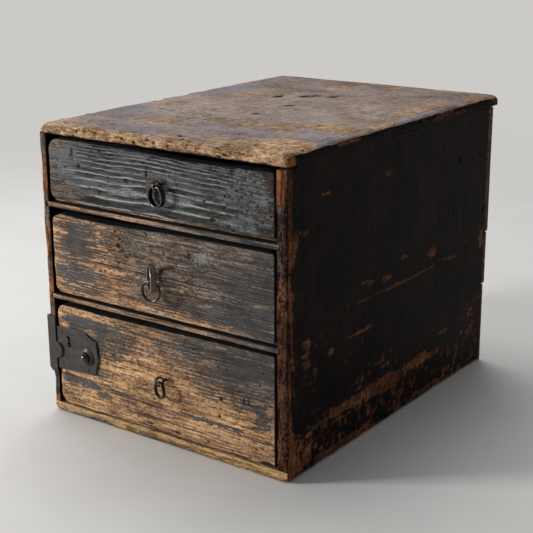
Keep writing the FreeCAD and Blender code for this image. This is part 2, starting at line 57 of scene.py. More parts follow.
def span(node):
    """Low and high corner of a node's box."""
    low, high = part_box(node)
    return np.array(low) / MM, np.array(high) / MM


left_low, left_high = span("left_side")
right_low, right_high = span("right_side")
top_low, top_high = span("top_board")
LEFT, FRONT, REAR = left_low[0], left_low[1], left_high[1]
RIGHT, HEIGHT, BASE = right_high[0], top_high[2], span("bottom_board")[1][2]
TOP_FOOT = top_low[2]
LEFT_INNER, RIGHT_INNER = left_high[0], right_low[0]
FRONT_FINGER, REAR_FINGER, SHELF_HOUSING = 55.0, 66.5, 3.5
FINGER_CUTS = [FRONT, *np.linspace(FRONT + FRONT_FINGER, REAR - REAR_FINGER, 4), REAR]
SHELF_ROWS = [(span(node)[0][2], span(node)[1][2]) for node in ("lower_shelf", "upper_shelf")]


# Noise and masks

def lattice(cell, seed):
    """An even random number from -1 to 1 for each cell of a grid, mixed with large primes."""
    i, j, k = (cell[:, axis].astype(np.int64) for axis in range(3))
    h = (i * 374761393 + j * 668265263 + k * 1274126177 + seed * 974711) & 0xFFFFFFFF
    h = ((h ^ (h >> 13)) * 1103515245) & 0xFFFFFFFF
    h = ((h ^ (h >> 16)) * 2654435761) & 0xFFFFFFFF
    return (h ^ (h >> 15)) / 2147483647.5 - 1.0


def noise(p, size, seed, octaves=1):
    """Smooth noise from about -1 to 1. Size is the length of its features, one or one per axis."""
    q = p / np.broadcast_to(np.asarray(size, float), (3,))
    total = np.zeros(len(p))
    for octave in range(octaves):
        base = np.floor(q)
        f = q - base
        w = f * f * f * (f * (f * 6 - 15) + 10)
        value = np.zeros(len(p))
        for corner in np.ndindex(2, 2, 2):
            share = np.ones(len(p))
            for axis in range(3):
                share = share * (w[:, axis] if corner[axis] else 1 - w[:, axis])
            value += share * lattice(base + corner, seed + octave * 57)
        total += value * 0.55 ** octave
        q = q * 2.03 + 17.1
    return total


def rise(value, low, high):
    """Goes smoothly from 0 at the low end to 1 at the high end."""
    t = np.clip((value - low) / (high - low), 0, 1)
    return t * t * (3 - 2 * t)


def blot(u, v, ragged, places):
    """Ragged patches: each place is (u, v, half width, half height, strength)."""
    total = np.zeros(len(u))
    for u0, v0, ru, rv, strength in places:
        d = np.hypot((u - u0) / ru, (v - v0) / rv) + ragged
        total = np.maximum(total, strength * rise(1.25 - d, 0, 0.55))
    return total


def pits(u, v, places):
    """Depth of small hollows: each place is (u, v, half width, half height, depth)."""
    total = np.zeros(len(u))
    for u0, v0, ru, rv, deep in places:
        total += deep * np.exp(-(((u - u0) / ru) ** 2 + ((v - v0) / rv) ** 2) ** 2)
    return total


def scatter(seed, count, u, v, size, stretch, deep):
    """Random small hollows in a rectangle."""
    rng = np.random.default_rng(seed)
    places = []
    for _ in range(count):
        half = rng.uniform(*size)
        places.append((rng.uniform(*u), rng.uniform(*v), half * stretch, half, rng.uniform(*deep)))
    return places


def stretched(along, across, length):
    """A size or scale per axis, with its own number along the grain."""
    sizes = [across, across, across]
    sizes[along] = length
    return tuple(sizes)


def rings(p, along, pith, spread, warp, seed):
    """Distance from the heart of the tree, which orders the growth rings in a board."""
    first, second = (axis for axis in range(3) if axis != along)
    a = p[:, first] - pith[0] + spread * (p[:, along] - pith[2])
    b = p[:, second] - pith[1]
    return np.hypot(a, b) + warp * noise(p, stretched(along, 26.0, 150.0), seed, 2)


def ridge(ring, spacing, sharp=0.16):
    """1 on the hard line of each growth ring, 0 in the soft wood between."""
    phase = np.abs((ring / spacing) % 1.0 - 0.5) * 2
    return np.exp(-((1 - phase) / (2 * sharp)) ** 2)


# Board meshes

def grid_lines(stops, step, fine):
    """Grid lines through every stop, about a step apart, and further ones where fine says."""
    low, high = min(stops), max(stops)
    fill = np.linspace(low, high, max(2, int(round((high - low) / step)) + 1))
    wanted = np.concatenate([fill, np.asarray(fine, float)])
    wanted = wanted[(wanted > low) & (wanted < high)]
    gap = 0.4 * step
    kept = sorted(stops)
    away = np.min(np.abs(wanted[:, None] - np.asarray(kept)[None, :]), axis=1)
    return np.unique(np.concatenate([kept, wanted[away > gap]]))


def grid_axes(boxes, cuts, steps, fine):
    """Grid lines per axis, through the faces of the boxes and of the cuts in them."""
    low = np.min([b[0] for b in boxes], axis=0)
    high = np.max([b[1] for b in boxes], axis=0)
    axes = []
    for k in range(3):
        stops = {float(b[end][k]) for b in [*boxes, *cuts] for end in (0, 1)}
        stops = {s for s in stops if low[k] <= s <= high[k]}
        axes.append(grid_lines(stops, steps[k], fine[k]))
    return axes


def filled_cells(axes, boxes, cuts):
    """Which cells of the grid are in a box and in no cut."""
    mids = [(a[1:] + a[:-1]) / 2 for a in axes]
    full = np.zeros([len(m) for m in mids], bool)
    for blocks, state in ((boxes, True), (cuts, False)):
        for lo, hi in blocks:
            inside = [(m > lo[k]) & (m < hi[k]) for k, m in enumerate(mids)]
            full[np.ix_(*inside)] = state
    return full


def lattice_mesh(boxes, cuts, steps, fine):
    """Points and outward quads of boxes with cuts taken away, on one grid."""
    axes = grid_axes(boxes, cuts, steps, fine)
    full = filled_cells(axes, boxes, cuts)
    count = [len(a) for a in axes]
    stride = np.array((count[1] * count[2], count[2], 1))
    quads = []
    for k in range(3):
        widths = [(1, 1) if axis == k else (0, 0) for axis in range(3)]
        change = np.diff(np.pad(full, widths).astype(np.int8), axis=k)
        i, j = stride[(k + 1) % 3], stride[(k + 2) % 3]
        around = np.array((0, i, i + j, j))
        for sign, corners in ((1, around[::-1]), (-1, around)):
            quads.append((np.argwhere(change == sign) @ stride)[:, None] + corners)
    used, flat = np.unique(np.concatenate(quads), return_inverse=True)
    x, y, z = np.unravel_index(used, count)
    points = np.stack([axes[0][x], axes[1][y], axes[2][z]], axis=1)
    return points, flat.reshape(-1, 4)


def unit(vectors):
    return vectors / np.maximum(np.linalg.norm(vectors, axis=1, keepdims=True), TINY)


def face_normals(points, quads):
    """Normals of the quads, as long as twice their area."""
    a, b, c, d = (points[quads[:, k]] for k in range(4))
    return np.cross(c - a, d - b)


def point_normals(points, quads):
    face = face_normals(points, quads)
    total = np.zeros_like(points)
    for k in range(4):
        np.add.at(total, quads[:, k], face)
    return unit(total)


def outer_faces(square, quads, axis, sign):
    """Which quads lie in the outermost plane of one side and face that way."""
    outermost = (sign * square[:, axis]).max()
    outer = np.abs(sign * square[quads[:, 0], axis] - outermost) < FLUSH
    return outer & (sign * unit(face_normals(square, quads))[:, axis] > 0.5)


def relax(points, faces, rounds, shares=(0.5,)):
    """Rounds off corners: each round moves points to their neighbours by each share in turn."""
    around = np.roll(faces, -1, axis=1)
    sides = np.sort(np.stack([faces.ravel(), around.ravel()], axis=1), axis=1)
    pairs = np.unique(sides, axis=0)
    degree = np.zeros(len(points))
    np.add.at(degree, pairs.ravel(), 1)
    for share in shares * rounds:
        total = np.zeros_like(points)
        np.add.at(total, pairs[:, 0], points[pairs[:, 1]])
        np.add.at(total, pairs[:, 1], points[pairs[:, 0]])
        points = points + share * (total / degree[:, None] - points)
    return points


def soften(p, lo, hi, radii, edge):
    """Keeps points within a block with four rounded corners seen from the front, and a rounded
    front rim."""
    bottom_left, bottom_right, top_right, top_left = radii
    middle = (lo + hi) / 2
    left, low = p[:, 0] < middle[0], p[:, 2] < middle[2]
    radius = np.where(low, np.where(left, bottom_left, bottom_right),
                      np.where(left, top_left, top_right))
    radius = np.maximum(radius * (1 + 0.2 * noise(p, 18, 5, 2)), edge)
    flat = p[:, (0, 2)]
    low_corner = np.array((lo[0], lo[2])) + radius[:, None]
    high_corner = np.array((hi[0], hi[2])) - radius[:, None]
    core = np.clip(flat, low_corner, high_corner)
    away = flat - core
    length = np.maximum(np.linalg.norm(away, axis=1), TINY)
    out = away / length[:, None]
    reach = np.minimum(length, radius)
    depth = p[:, 1] - lo[1]
    inside = radius - reach
    a, b = inside - edge, depth - edge
    size = np.hypot(a, b)
    at_rim = (a < 0) & (b < 0) & (size > edge)
    scale = np.where(at_rim, edge / np.maximum(size, TINY), 1.0)
    inside = np.where(at_rim, edge + a * scale, inside)
    depth = np.where(at_rim, edge + b * scale, depth)
    flat = np.where((length > 1e-6)[:, None], core + out * (radius - inside)[:, None], flat)
    return np.stack([flat[:, 0], lo[1] + depth, flat[:, 1]], axis=1)


def add_object(name, data):
    obj = bpy.data.objects.new(name, data)
    scene.collection.objects.link(obj)
    return obj


def make_object(name, points, faces, masks=None):
    """A mesh object in metres, with each mask as a number per point."""
    mesh = bpy.data.meshes.new(name)
    mesh.from_pydata((points * MM).tolist(), [], faces.tolist())
    for mask_name, values in (masks or {}).items():
        layer = mesh.attributes.new(mask_name, "FLOAT", "POINT")
        layer.data.foreach_set("value", np.asarray(values, np.float32))
    mesh.shade_smooth()
    mesh.set_sharp_from_angle(angle=SHARP_ANGLE)
    return add_object(name, mesh)


def board(name, node, boxes, steps, paint, material, cuts=(), fine=((), (), ()), form=None,
          worn=2, seams=(), skins=()):
    """A worn board that stands for a node: grid mesh, rounded form, then hollows and masks from
    its painter. Seams are planes, as (axis, place), where it meets its neighbours flush with sharp
    edges. Skins are (axis, sign, painter, material) of faces finished with a neighbour's."""
    square, quads = lattice_mesh(boxes, cuts, steps, fine)
    points = relax(square, quads, worn)
    in_seam = [(axis, np.abs(square[:, axis] - place) < FLUSH) for axis, place in seams]
    for _, flush in in_seam:
        points[flush] = square[flush]
    if form:
        points = form(points)
    normals = point_normals(points, quads)
    for axis, flush in in_seam:
        normals[flush, axis] = 0
    normals = unit(normals)
    look = paint(points, normals)
    index = np.zeros(len(quads), np.int32)
    for number, (axis, sign, skin_paint, _) in enumerate(skins, 1):
        index[outer_faces(square, quads, axis, sign)] = number
        on = np.unique(quads[index == number])
        for key, values in skin_paint(points[on], normals[on]).items():
            look[key][on] = values
    points = points - normals * np.maximum(look.pop("depth"), 0)[:, None]
    points = np.clip(points, square.min(axis=0), square.max(axis=0))
    obj = make_object(name, points, quads, look)
    for each in [material] + [skin[3] for skin in skins]:
        obj.data.materials.append(each)
    obj.data.polygons.foreach_set("material_index", index)
    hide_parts(node)
    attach(obj, body_of[node])


# Materials

def srgb(r, g, b):
    """Linear colour, with alpha, of a screen colour from 0 to 255."""
    def linear(c):
        c = c / 255
        return c / 12.92 if c <= 0.04045 else ((c + 0.055) / 1.055) ** 2.4
    return (linear(r), linear(g), linear(b), 1.0)


class Graph:
    """A material's node tree, with short calls for the nodes that it uses."""

    def __init__(self, name):
        self.material = bpy.data.materials.new(name)
        self.material.use_nodes = True
        self.tree = self.material.node_tree
        self.shader = self.tree.nodes["Principled BSDF"]

    def node(self, kind, inputs=(), **settings):
        made = self.tree.nodes.new("ShaderNode" + kind)
        for key, value in settings.items():
            setattr(made, key, value)
        for key, value in dict(inputs).items():
            self.put(made.inputs[key], value)
        return made

    def put(self, socket, value):
        if isinstance(value, bpy.types.NodeSocket):
            self.tree.links.new(value, socket)
        else:
            socket.default_value = value

    def surface(self, values):
        """Puts a constant or a link on the shader's own sockets, by name."""
        for key, value in values.items():
            self.put(self.shader.inputs[key], value)

    def math(self, operation, a, b):
        return self.node("Math", {0: a, 1: b}, operation=operation).outputs[0]

    def mix(self, share, a, b, blend="MIX"):
        made = self.node("Mix", {0: share, 6: a, 7: b}, data_type="RGBA", blend_type=blend)
        return made.outputs[2]

    def blend(self, share, a, b):
        return self.node("Mix", {0: share, 2: a, 3: b}, data_type="FLOAT").outputs[0]

    def step(self, value, low, high, most=1.0):
        made = self.node("MapRange", {0: value, 1: low, 2: high, 4: most},
                         interpolation_type="SMOOTHSTEP")
        return made.outputs[0]

    def ramp(self, value, places, colours):
        made = self.node("ValToRGB", {0: value})
        elements = made.color_ramp.elements
        while len(elements) < len(places):
            elements.new(0.5)
        for element, place, colour in zip(elements, places, colours):
            element.position = place
            element.color = srgb(*colour)
        return made.outputs[0]

    def noise(self, scale, detail, rough, seed):
        """Noise with a scale per metre, one number or one per axis."""
        vector = self.node("TexCoord").outputs["Object"]
        stretch = (scale, scale, scale) if isinstance(scale, float) else scale
        moved = self.node("Mapping", {"Vector": vector, "Scale": stretch,
                                      "Location": (seed, seed, seed)})
        made = self.node("TexNoise", {"Vector": moved.outputs[0], "Scale": 1.0,
                                      "Detail": detail, "Roughness": rough})
        return made.outputs[0]

    def mask(self, name):
        return self.node("Attribute", attribute_name=name).outputs["Fac"]

    def bump(self, height, strength, distance):
        made = self.node("Bump", {"Height": height, "Strength": strength, "Distance": distance})
        self.surface({"Normal": made.outputs[0]})


def worn_wood(name, along, seed, bare, grey, lacquer, pale=(150, 148, 142), shine=0.55, gloss=0.3,
              grainy=1.0):
    """Wood under worn lacquer. Masks: paint, how much lacquer is left; tone, how grey the bare
    wood is; dirt, how dark a hollow is with dirt, or a hidden face with painted shade;
    pale, how much a worn crest stands out, or a painted highlight or pool of light.
    Bare and grey are (dark, middle, light) colours, lacquer is (dark, light). Grainy is how far
    colours follow the grain, the rest is mottled."""
    g = Graph(name)
    noises = dict(
        fibre=g.noise(stretched(along, 900.0, 45.0), 4, 0.65, seed),
        dash=g.noise(stretched(along, 860.0, 210.0), 3, 0.55, seed + 1.7),
        streak=g.noise(stretched(along, 240.0, 12.0), 5, 0.66, seed + 3.1),
        blotch=g.noise(26.0, 4, 0.6, seed + 5.7),
        pore=g.noise(stretched(along, 700.0, 190.0), 3, 0.6, seed + 7.7),
        speck=g.noise(620.0, 3, 0.66, seed + 9.3),
        mottle=g.noise(120.0, 5, 0.66, seed + 11.9))

    def sway(start, **shares):
        """The start value, moved up and down by a share of each noise."""
        total = start
        for key, share in shares.items():
            moved = g.math("MULTIPLY", g.math("SUBTRACT", noises[key], 0.5), share)
            total = g.math("ADD", total, moved)
        return total

    # Bare wood, from warm to grey, with dark pores
    patchy = 1.0 - grainy
    grain = sway(0.5, streak=1.4 * grainy, fibre=1.3 * grainy, dash=0.5 * grainy, blotch=0.6,
                 speck=0.8, mottle=patchy)
    bare_colour, grey_colour = (g.ramp(grain, (0.25, 0.5, 0.75), shade) for shade in (bare, grey))
    tone = sway(g.mask("tone"), blotch=0.9, streak=0.9 * grainy, dash=0.8 * grainy,
                mottle=1.6 * patchy)
    wood = g.mix(g.step(tone, 0.15, 0.85), bare_colour, grey_colour)
    wood = g.mix(g.step(noises["pore"], 0.56, 0.65, 0.85), wood, srgb(*bare[0]))

    # Lacquer that is left on it
    paint = sway(g.mask("paint"), dash=1.9 * grainy, fibre=1.1 * grainy, streak=0.6 * grainy,
                 speck=0.9, mottle=1.8 * patchy)
    left = g.step(paint, 0.46, 0.55)
    film = sway(0.5, blotch=1.0, fibre=1.2 * grainy, speck=1.0, mottle=0.8 * patchy)
    colour = g.mix(g.math("MULTIPLY", left, 0.95), wood, g.ramp(film, (0.3, 0.7), lacquer))

    # Pale crests and painted highlights, dark hollows and painted shade
    crest = g.step(sway(g.mask("pale"), fibre=1.0, speck=1.0), 0.3, 1.0, 0.85)
    colour = g.mix(crest, colour, srgb(*pale))
    dirt = sway(g.mask("dirt"), speck=0.7, fibre=0.5)
    # Dirt in hollows, and painted shade on faces hidden in the case, darken the colour
    shade = g.mix(g.step(dirt, 0.1, 0.9), (1, 1, 1, 1), srgb(52, 43, 37))
    shade = g.mix(g.step(dirt, 0.9, 1.5), shade, srgb(16, 14, 13))

    rough = sway(g.blend(left, 0.8, shine), speck=0.5)
    g.surface({"Base Color": g.mix(1.0, colour, shade, "MULTIPLY"),
               "Roughness": g.math("MINIMUM", rough, 1.0), "Specular IOR Level": gloss})
    height = sway(g.math("MULTIPLY", left, 0.25), fibre=0.7, dash=0.4, speck=0.5, pore=-0.5)
    g.bump(height, 0.6, 0.0009)
    return g.material


def forged_iron(name, seed, colour, rust, metal, rough, polish):
    """Forged iron with rusty blotches. Colour is (dark, middle, light), and polish is how much
    its rubbed surface shines."""
    g = Graph(name)
    blotch = g.noise(140.0, 5, 0.65, seed)
    grit = g.noise(900.0, 4, 0.6, seed + 2.3)
    pit = g.noise(380.0, 2, 0.5, seed + 4.9)

    def both(blotch_share, grit_share):
        return g.math("ADD", g.math("MULTIPLY", blotch, blotch_share),
                      g.math("MULTIPLY", grit, grit_share))

    tint = g.ramp(both(0.6, 0.4), (0.3, 0.52, 0.74), colour)
    pitted = g.math("MULTIPLY", g.math("SUBTRACT", pit, 0.5), 0.8)
    rusty = g.step(g.math("ADD", blotch, pitted), 0.56, 0.8, 0.6)
    g.surface({"Base Color": g.mix(rusty, tint, srgb(*rust)),
               "Metallic": metal, "Coat Weight": polish, "Coat Roughness": 0.16,
               "Roughness": g.math("ADD", g.math("MULTIPLY", grit, 0.3), rough)})
    g.bump(both(0.7, 0.3), 0.5, 0.0008)
    return g.material


def dress(obj, material):
    """Gives its material to a solid that is shown as it is."""
    obj.data.materials.clear()
    obj.data.materials.append(material)


# Bodies and slots of the nodes

record = frame["record"]
body_of = {node: body for body, members in record["behaviour"]["bodies"].items()
           for node in members}
slot_of = {entry["node"]: entry["material_slot"] for entry in record["subparts"]}

# Colours from dark to light

TAN = ((54, 37, 25), (157, 118, 83), (228, 182, 131))
AMBER = ((48, 34, 25), (144, 108, 79), (214, 164, 117))
OCHRE = ((56, 40, 25), (146, 110, 68), (210, 168, 108))
RUSSET = ((46, 33, 22), (156, 121, 86), (222, 184, 140))
UMBER = ((64, 46, 34), (132, 102, 78), (192, 150, 114))
ROSE = ((24, 15, 12), (94, 60, 40), (160, 104, 66))
BROWN = ((38, 28, 22), (92, 70, 54), (158, 124, 94))
DULL = ((32, 28, 24), (82, 72, 62), (146, 131, 114))
ASH = ((40, 41, 42), (72, 73, 72), (112, 111, 107))
PURPLE = ((94, 80, 72), (144, 127, 118), (174, 157, 146))
SLATE = ((20, 22, 23), (64, 67, 67))
HAZE = ((100, 95, 99), (142, 134, 139))
JET = ((2, 2, 4), (9, 10, 13))
CHAR = ((42, 44, 45), (96, 99, 98))
PLATE_IRON = ((20, 19, 18), (44, 41, 38), (72, 68, 63))
RING_IRON = ((10, 9, 8), (26, 23, 20), (66, 58, 50))
# A lighter copy of the ring iron, with painted light, for the middle staple
PAINTED_LIT_EYE_IRON = ((36, 31, 26), (84, 74, 64), (150, 134, 116))


# Worn forms

def case_form(points):
    """The worn outer form of the whole case: its front rim is roundest on the top and the right."""
    lo, hi = np.array((LEFT, FRONT, 0.0)), np.array((RIGHT, top_high[1], HEIGHT))
    wear = 2.0 + 4.2 * rise(points[:, 2], HEIGHT - 12, HEIGHT - 5)
    wear = wear + 1.2 * rise(points[:, 0], RIGHT - 9, RIGHT - 3)
    edge = wear * (1 + 0.4 * noise(points, (16, 14, 14), 71, 2))
    return soften(points, lo, hi, (5.0, 5.5, 3.4, 11.0), np.maximum(edge, 0.8))


def front_form(lo, hi, dips):
    """A drawer front's worn outline: large corners on the left, and a dished upper edge. Dips are
    (place from the left, half width, depth)."""
    def form(points):
        u = points[:, 0] - LEFT
        dip = sum(deep * np.exp(-((u - place) / half) ** 2) for place, half, deep in dips)
        dip = dip + 0.5 * np.clip(noise(points, (16, 40, 40), 79, 2), 0, 1)
        dip = dip * np.clip((points[:, 2] - lo[2]) / (hi[2] - lo[2]), 0, 1) ** 8
        edge = np.maximum(1.7 * (1 + 0.5 * noise(points, 11, 73, 2)), 0.6)
        shaped = soften(points, lo, hi, (8.5, 2.6, 2.6, 11.0), edge)
        shaped[:, 2] -= dip
        return shaped
    return form


# Painters. Each gives the depth of hollows and the masks at each point. In places of wear, u runs
# from the left, or from the front on a side, and v runs up, or back from the front on the top.

def facing(normals, axis, sign):
    """1 on faces turned to one side of the chest, 0 on those turned elsewhere."""
    return np.clip(sign * normals[:, axis] * 1.6 - 0.4, 0, 1)


def plain_painter(along, pith, seed, spacing, paint=0.0, tone=0.3, dirt=0.15):
    """Bare inner boards: grain, slight relief and grime."""
    def paint_it(p, n):
        line = ridge(rings(p, along, pith, 0.02, 1.6, seed), spacing)
        return dict(
            depth=0.22 * (1 - line) + 0.25 * (0.5 + 0.5 * noise(p, 45, seed + 1, 2)),
            paint=np.full(len(p), paint) + 0.25 * noise(p, 50, seed + 2, 2),
            tone=tone + 0.3 * noise(p, 60, seed + 3, 2) + 0.2 * (line - 0.4),
            dirt=dirt + 0.2 * np.clip(noise(p, 40, seed + 4, 2), 0, 1),
            pale=np.zeros(len(p)))
    return paint_it


TOP_HOLES = [
    (143, 150, 3.6, 4.6, 1.8), (142, 206, 4.4, 5.6, 1.3), (99, 248, 3.8, 6, 1.3),
    (122, 265, 3.6, 7, 1.2), (131, 276, 4.6, 5, 1.2), (148, 280, 4.6, 5.4, 1),
    (155, 42, 2.6, 3, 1.4), (158, 19, 3, 3, 1.5), (170, 7, 2.6, 2.6, 1.5), (206, 33, 1.4, 5, 1.1),
    (216, 11, 2.2, 2.8, 1.4), (96, 51, 2.8, 2.2, 0.9), (62, 121, 3.6, 3.4, 0.7),
    (111, 120, 3.6, 3.4, 0.7), (94, 145, 4.6, 2.4, 0.6), (108, 181, 4.6, 2.4, 0.5),
    (164, 95, 2.8, 3.4, 0.8), (150, 115, 2.8, 2.8, 0.6), (240, 125, 1.6, 2.4, 1),
    (276, 36, 4, 2.4, 1.2), (134, 232, 2.4, 9, 0.5), (142, 82, 2, 2.4, 0.6), (238, 22, 2.4, 6, 0.8),
    (99, 165, 3, 2.2, 0.5)]
TOP_BARE = [
    (262, 28, 34, 26, 0.85), (222, 16, 30, 9, 0.6), (281, 158, 7, 14, 0.9), (281, 332, 8, 24, 0.85),
    (119, 345, 10, 44, 0.62), (175, 360, 8, 26, 0.4), (8, 150, 10, 10, 0.7), (16, 18, 18, 13, 0.6),
    (250, 122, 26, 14, 0.5), (62, 226, 12, 16, 0.4), (262, 252, 14, 50, 0.36),
    (100, 66, 14, 12, 0.36)]
TOP_LACQUER = [
    (282, 82, 8, 44, 0.95), (282, 238, 7, 58, 0.9), (258, 84, 30, 24, 0.66), (20, 96, 26, 42, 0.7),
    (96, 30, 40, 20, 0.6), (40, 44, 34, 16, 0.5), (20, 260, 40, 46, 0.55), (178, 66, 70, 26, 0.46),
    (70, 62, 60, 22, 0.4), (266, 210, 12, 40, 0.5), (236, 22, 9, 8, 0.8), (70, 320, 60, 50, 0.42)]
TOP_STAINS = [
    (143, 150, 5.5, 7, 1), (142, 207, 6, 9, 0.8), (99, 248, 5.5, 10, 0.85), (124, 266, 8, 12, 0.85),
    (148, 279, 8, 9, 0.75), (156, 42, 4, 5, 0.8), (160, 19, 6, 5, 0.8), (171, 7, 4, 4, 0.8),
    (134, 232, 4, 14, 0.4), (62, 121, 6, 6, 0.45), (111, 120, 6, 6, 0.45), (94, 146, 9, 5, 0.4),
    (164, 95, 5, 6, 0.5), (238, 22, 4, 9, 0.6), (207, 33, 3, 8, 0.6), (216, 12, 4, 5, 0.8),
    (108, 181, 8, 4, 0.35), (180, 33, 9, 9, 0.4), (188, 52, 10, 8, 0.35)]


def top_painter(p, n):
    """Dull top with remains of grey lacquer, pitted, darker towards the back, and worn to bare
    fibrous wood in front; its underside gets painted shade.
    """
    u, v = p[:, 0] - LEFT, p[:, 1] - FRONT
    ragged = 0.45 * noise(p, (16, 9, 30), 11, 3)
    ring = rings(p, 0, (40.0, 200.0, 0.0), 0.03, 3.0, 12)
    up, ahead, under = facing(n, 2, 1), facing(n, 1, -1), facing(n, 2, -1)
    holes = pits(u + 2.0 * noise(p, 5, 27, 2), v + 2.6 * noise(p, 5, 28, 2), TOP_HOLES
                 + scatter(13, 120, (8, 278), (4, 372), (0.6, 1.5), 1.3, (0.2, 0.7))
                 + scatter(14, 150, (20, 280), (2, 70), (0.7, 1.6), 1.6, (0.5, 1.4)))
    inland = rise(np.minimum(u, RIGHT - LEFT - u), 1, 7)
    edge = 2 + 4 * noise(p, (22, 12, 12), 15, 2) + 4 * noise(p, (7, 5, 5), 16, 2)
    bare = 1 - rise(v, edge - 3, edge + 5)
    bare = np.maximum(bare, blot(u, v, ragged, TOP_BARE))
    lacquer = blot(u, v, ragged, TOP_LACQUER)
    stains = blot(u, v, 0.7 * ragged, TOP_STAINS)
    stains = stains * (0.45 + 0.55 * rise(noise(p, (5, 5, 5), 26, 3), -0.3, 0.5))
    fibres = rise(noise(p, (8, 9, 1.5), 20, 3), -0.1, 0.6)
    clefts = pits(u, p[:, 2], scatter(25, 40, (12, 276), (HEIGHT - 9, HEIGHT - 2), (0.4, 1.0), 3.0,
                                      (0.5, 1.2)))
    hollow = (0.25 * (1 - ridge(ring, 4.2)) + 0.5 * rise(noise(p, 70, 19, 2), -0.6, 0.9) + holes
              + 0.5 * stains + 0.35 * bare * rise(noise(p, (14, 2.6, 9), 23, 2), -0.1, 0.7))
    frayed = 0.9 * fibres + 0.5 * rise(noise(p, (9, 9, 4), 24, 2), -0.2, 0.9) + clefts
    rim = 0.45 * rise(p[:, 2], HEIGHT - 7, HEIGHT - 2)
    film = rim * rise(noise(p, (26, 9, 5), 21, 2), -0.1, 0.6)
    grey = 0.78 - bare - 0.2 * rise(u + 0.5 * v, 180, 400) + 0.3 * noise(p, (60, 40, 40), 18, 3)
    grime = np.clip(holes * 0.6 + 0.5 * stains, 0, 0.75) + 0.36 * rise(v, 110, 380)
    return dict(
        depth=up * inland * hollow + ahead * frayed,
        paint=up * (lacquer - 0.75 * bare + 0.12 * noise(p, 30, 17, 2)) + ahead * (film - 0.1),
        tone=up * grey - ahead * 0.15 + 0.6 * under,
        # The underside gets painted shade
        dirt=up * grime + 1.2 * under + ahead * (0.02 + 0.5 * fibres + 0.9 * clefts),
        pale=np.zeros(len(p)))


SIDE_BARE = [
    (118, 41, 68, 7, 1.25), (205, 42, 58, 5.4, 1.1), (180, 136, 68, 1.5, 0.9),
    (250, 151, 9, 3.2, 1), (191, 159, 7, 3.2, 1), (290, 136, 15, 2.6, 1), (281, 60, 10, 2.8, 1),
    (117, 107, 17, 1.6, 0.95), (118, 153, 12, 1.8, 0.8), (133, 150, 5, 2.6, 0.9),
    (160, 147, 10, 3, 0.9), (67, 103, 5, 2.4, 0.9), (26, 221, 8, 5, 0.9), (28, 110, 6, 16, 0.6),
    (40, 84, 5, 12, 0.5), (30, 22, 10, 16, 0.5), (162, 249, 8, 3, 0.6), (54, 249, 8, 1, 0.8),
    (90, 287, 16, 2.6, 0.8), (265, 286, 34, 4, 0.6), (358, 143, 6, 10, 0.7), (360, 175, 8, 5, 0.6),
    (378, 286, 6, 8, 1), (98, 5, 44, 6, 0.8), (258, 4, 42, 5, 0.95), (340, 60, 24, 20, 0.42),
    (150, 66, 40, 10, 0.36)]
SIDE_MARKS = [
    (301, 237, 1.8, 5, 1.2), (345, 235, 7, 1.4, 1), (359, 174, 4, 2.4, 1), (169, 283, 1.6, 4, 0.8),
    (174, 270, 1, 9, 0.5), (21.5, 205, 0.7, 75, 0.7)]


def side_edge(p, sign, worn):
    """How light and how grey a side's front edge is. The left one is worn alike all the way up."""
    if sign < 0:
        return 0.7 * worn, 1 - worn
    v = p[:, 2]
    corner = rise(p[:, 0], RIGHT - 7, RIGHT - 3.5)
    light = (0.5 + 0.5 * worn) * rise(v, 236, 262) + 0.3 * worn * (1 - rise(v, 120, 210))
    grey = rise(v, 150, 216) * (1 - rise(v, 242, 258)) * (1 - corner)
    return light * (1 - 0.8 * corner), grey


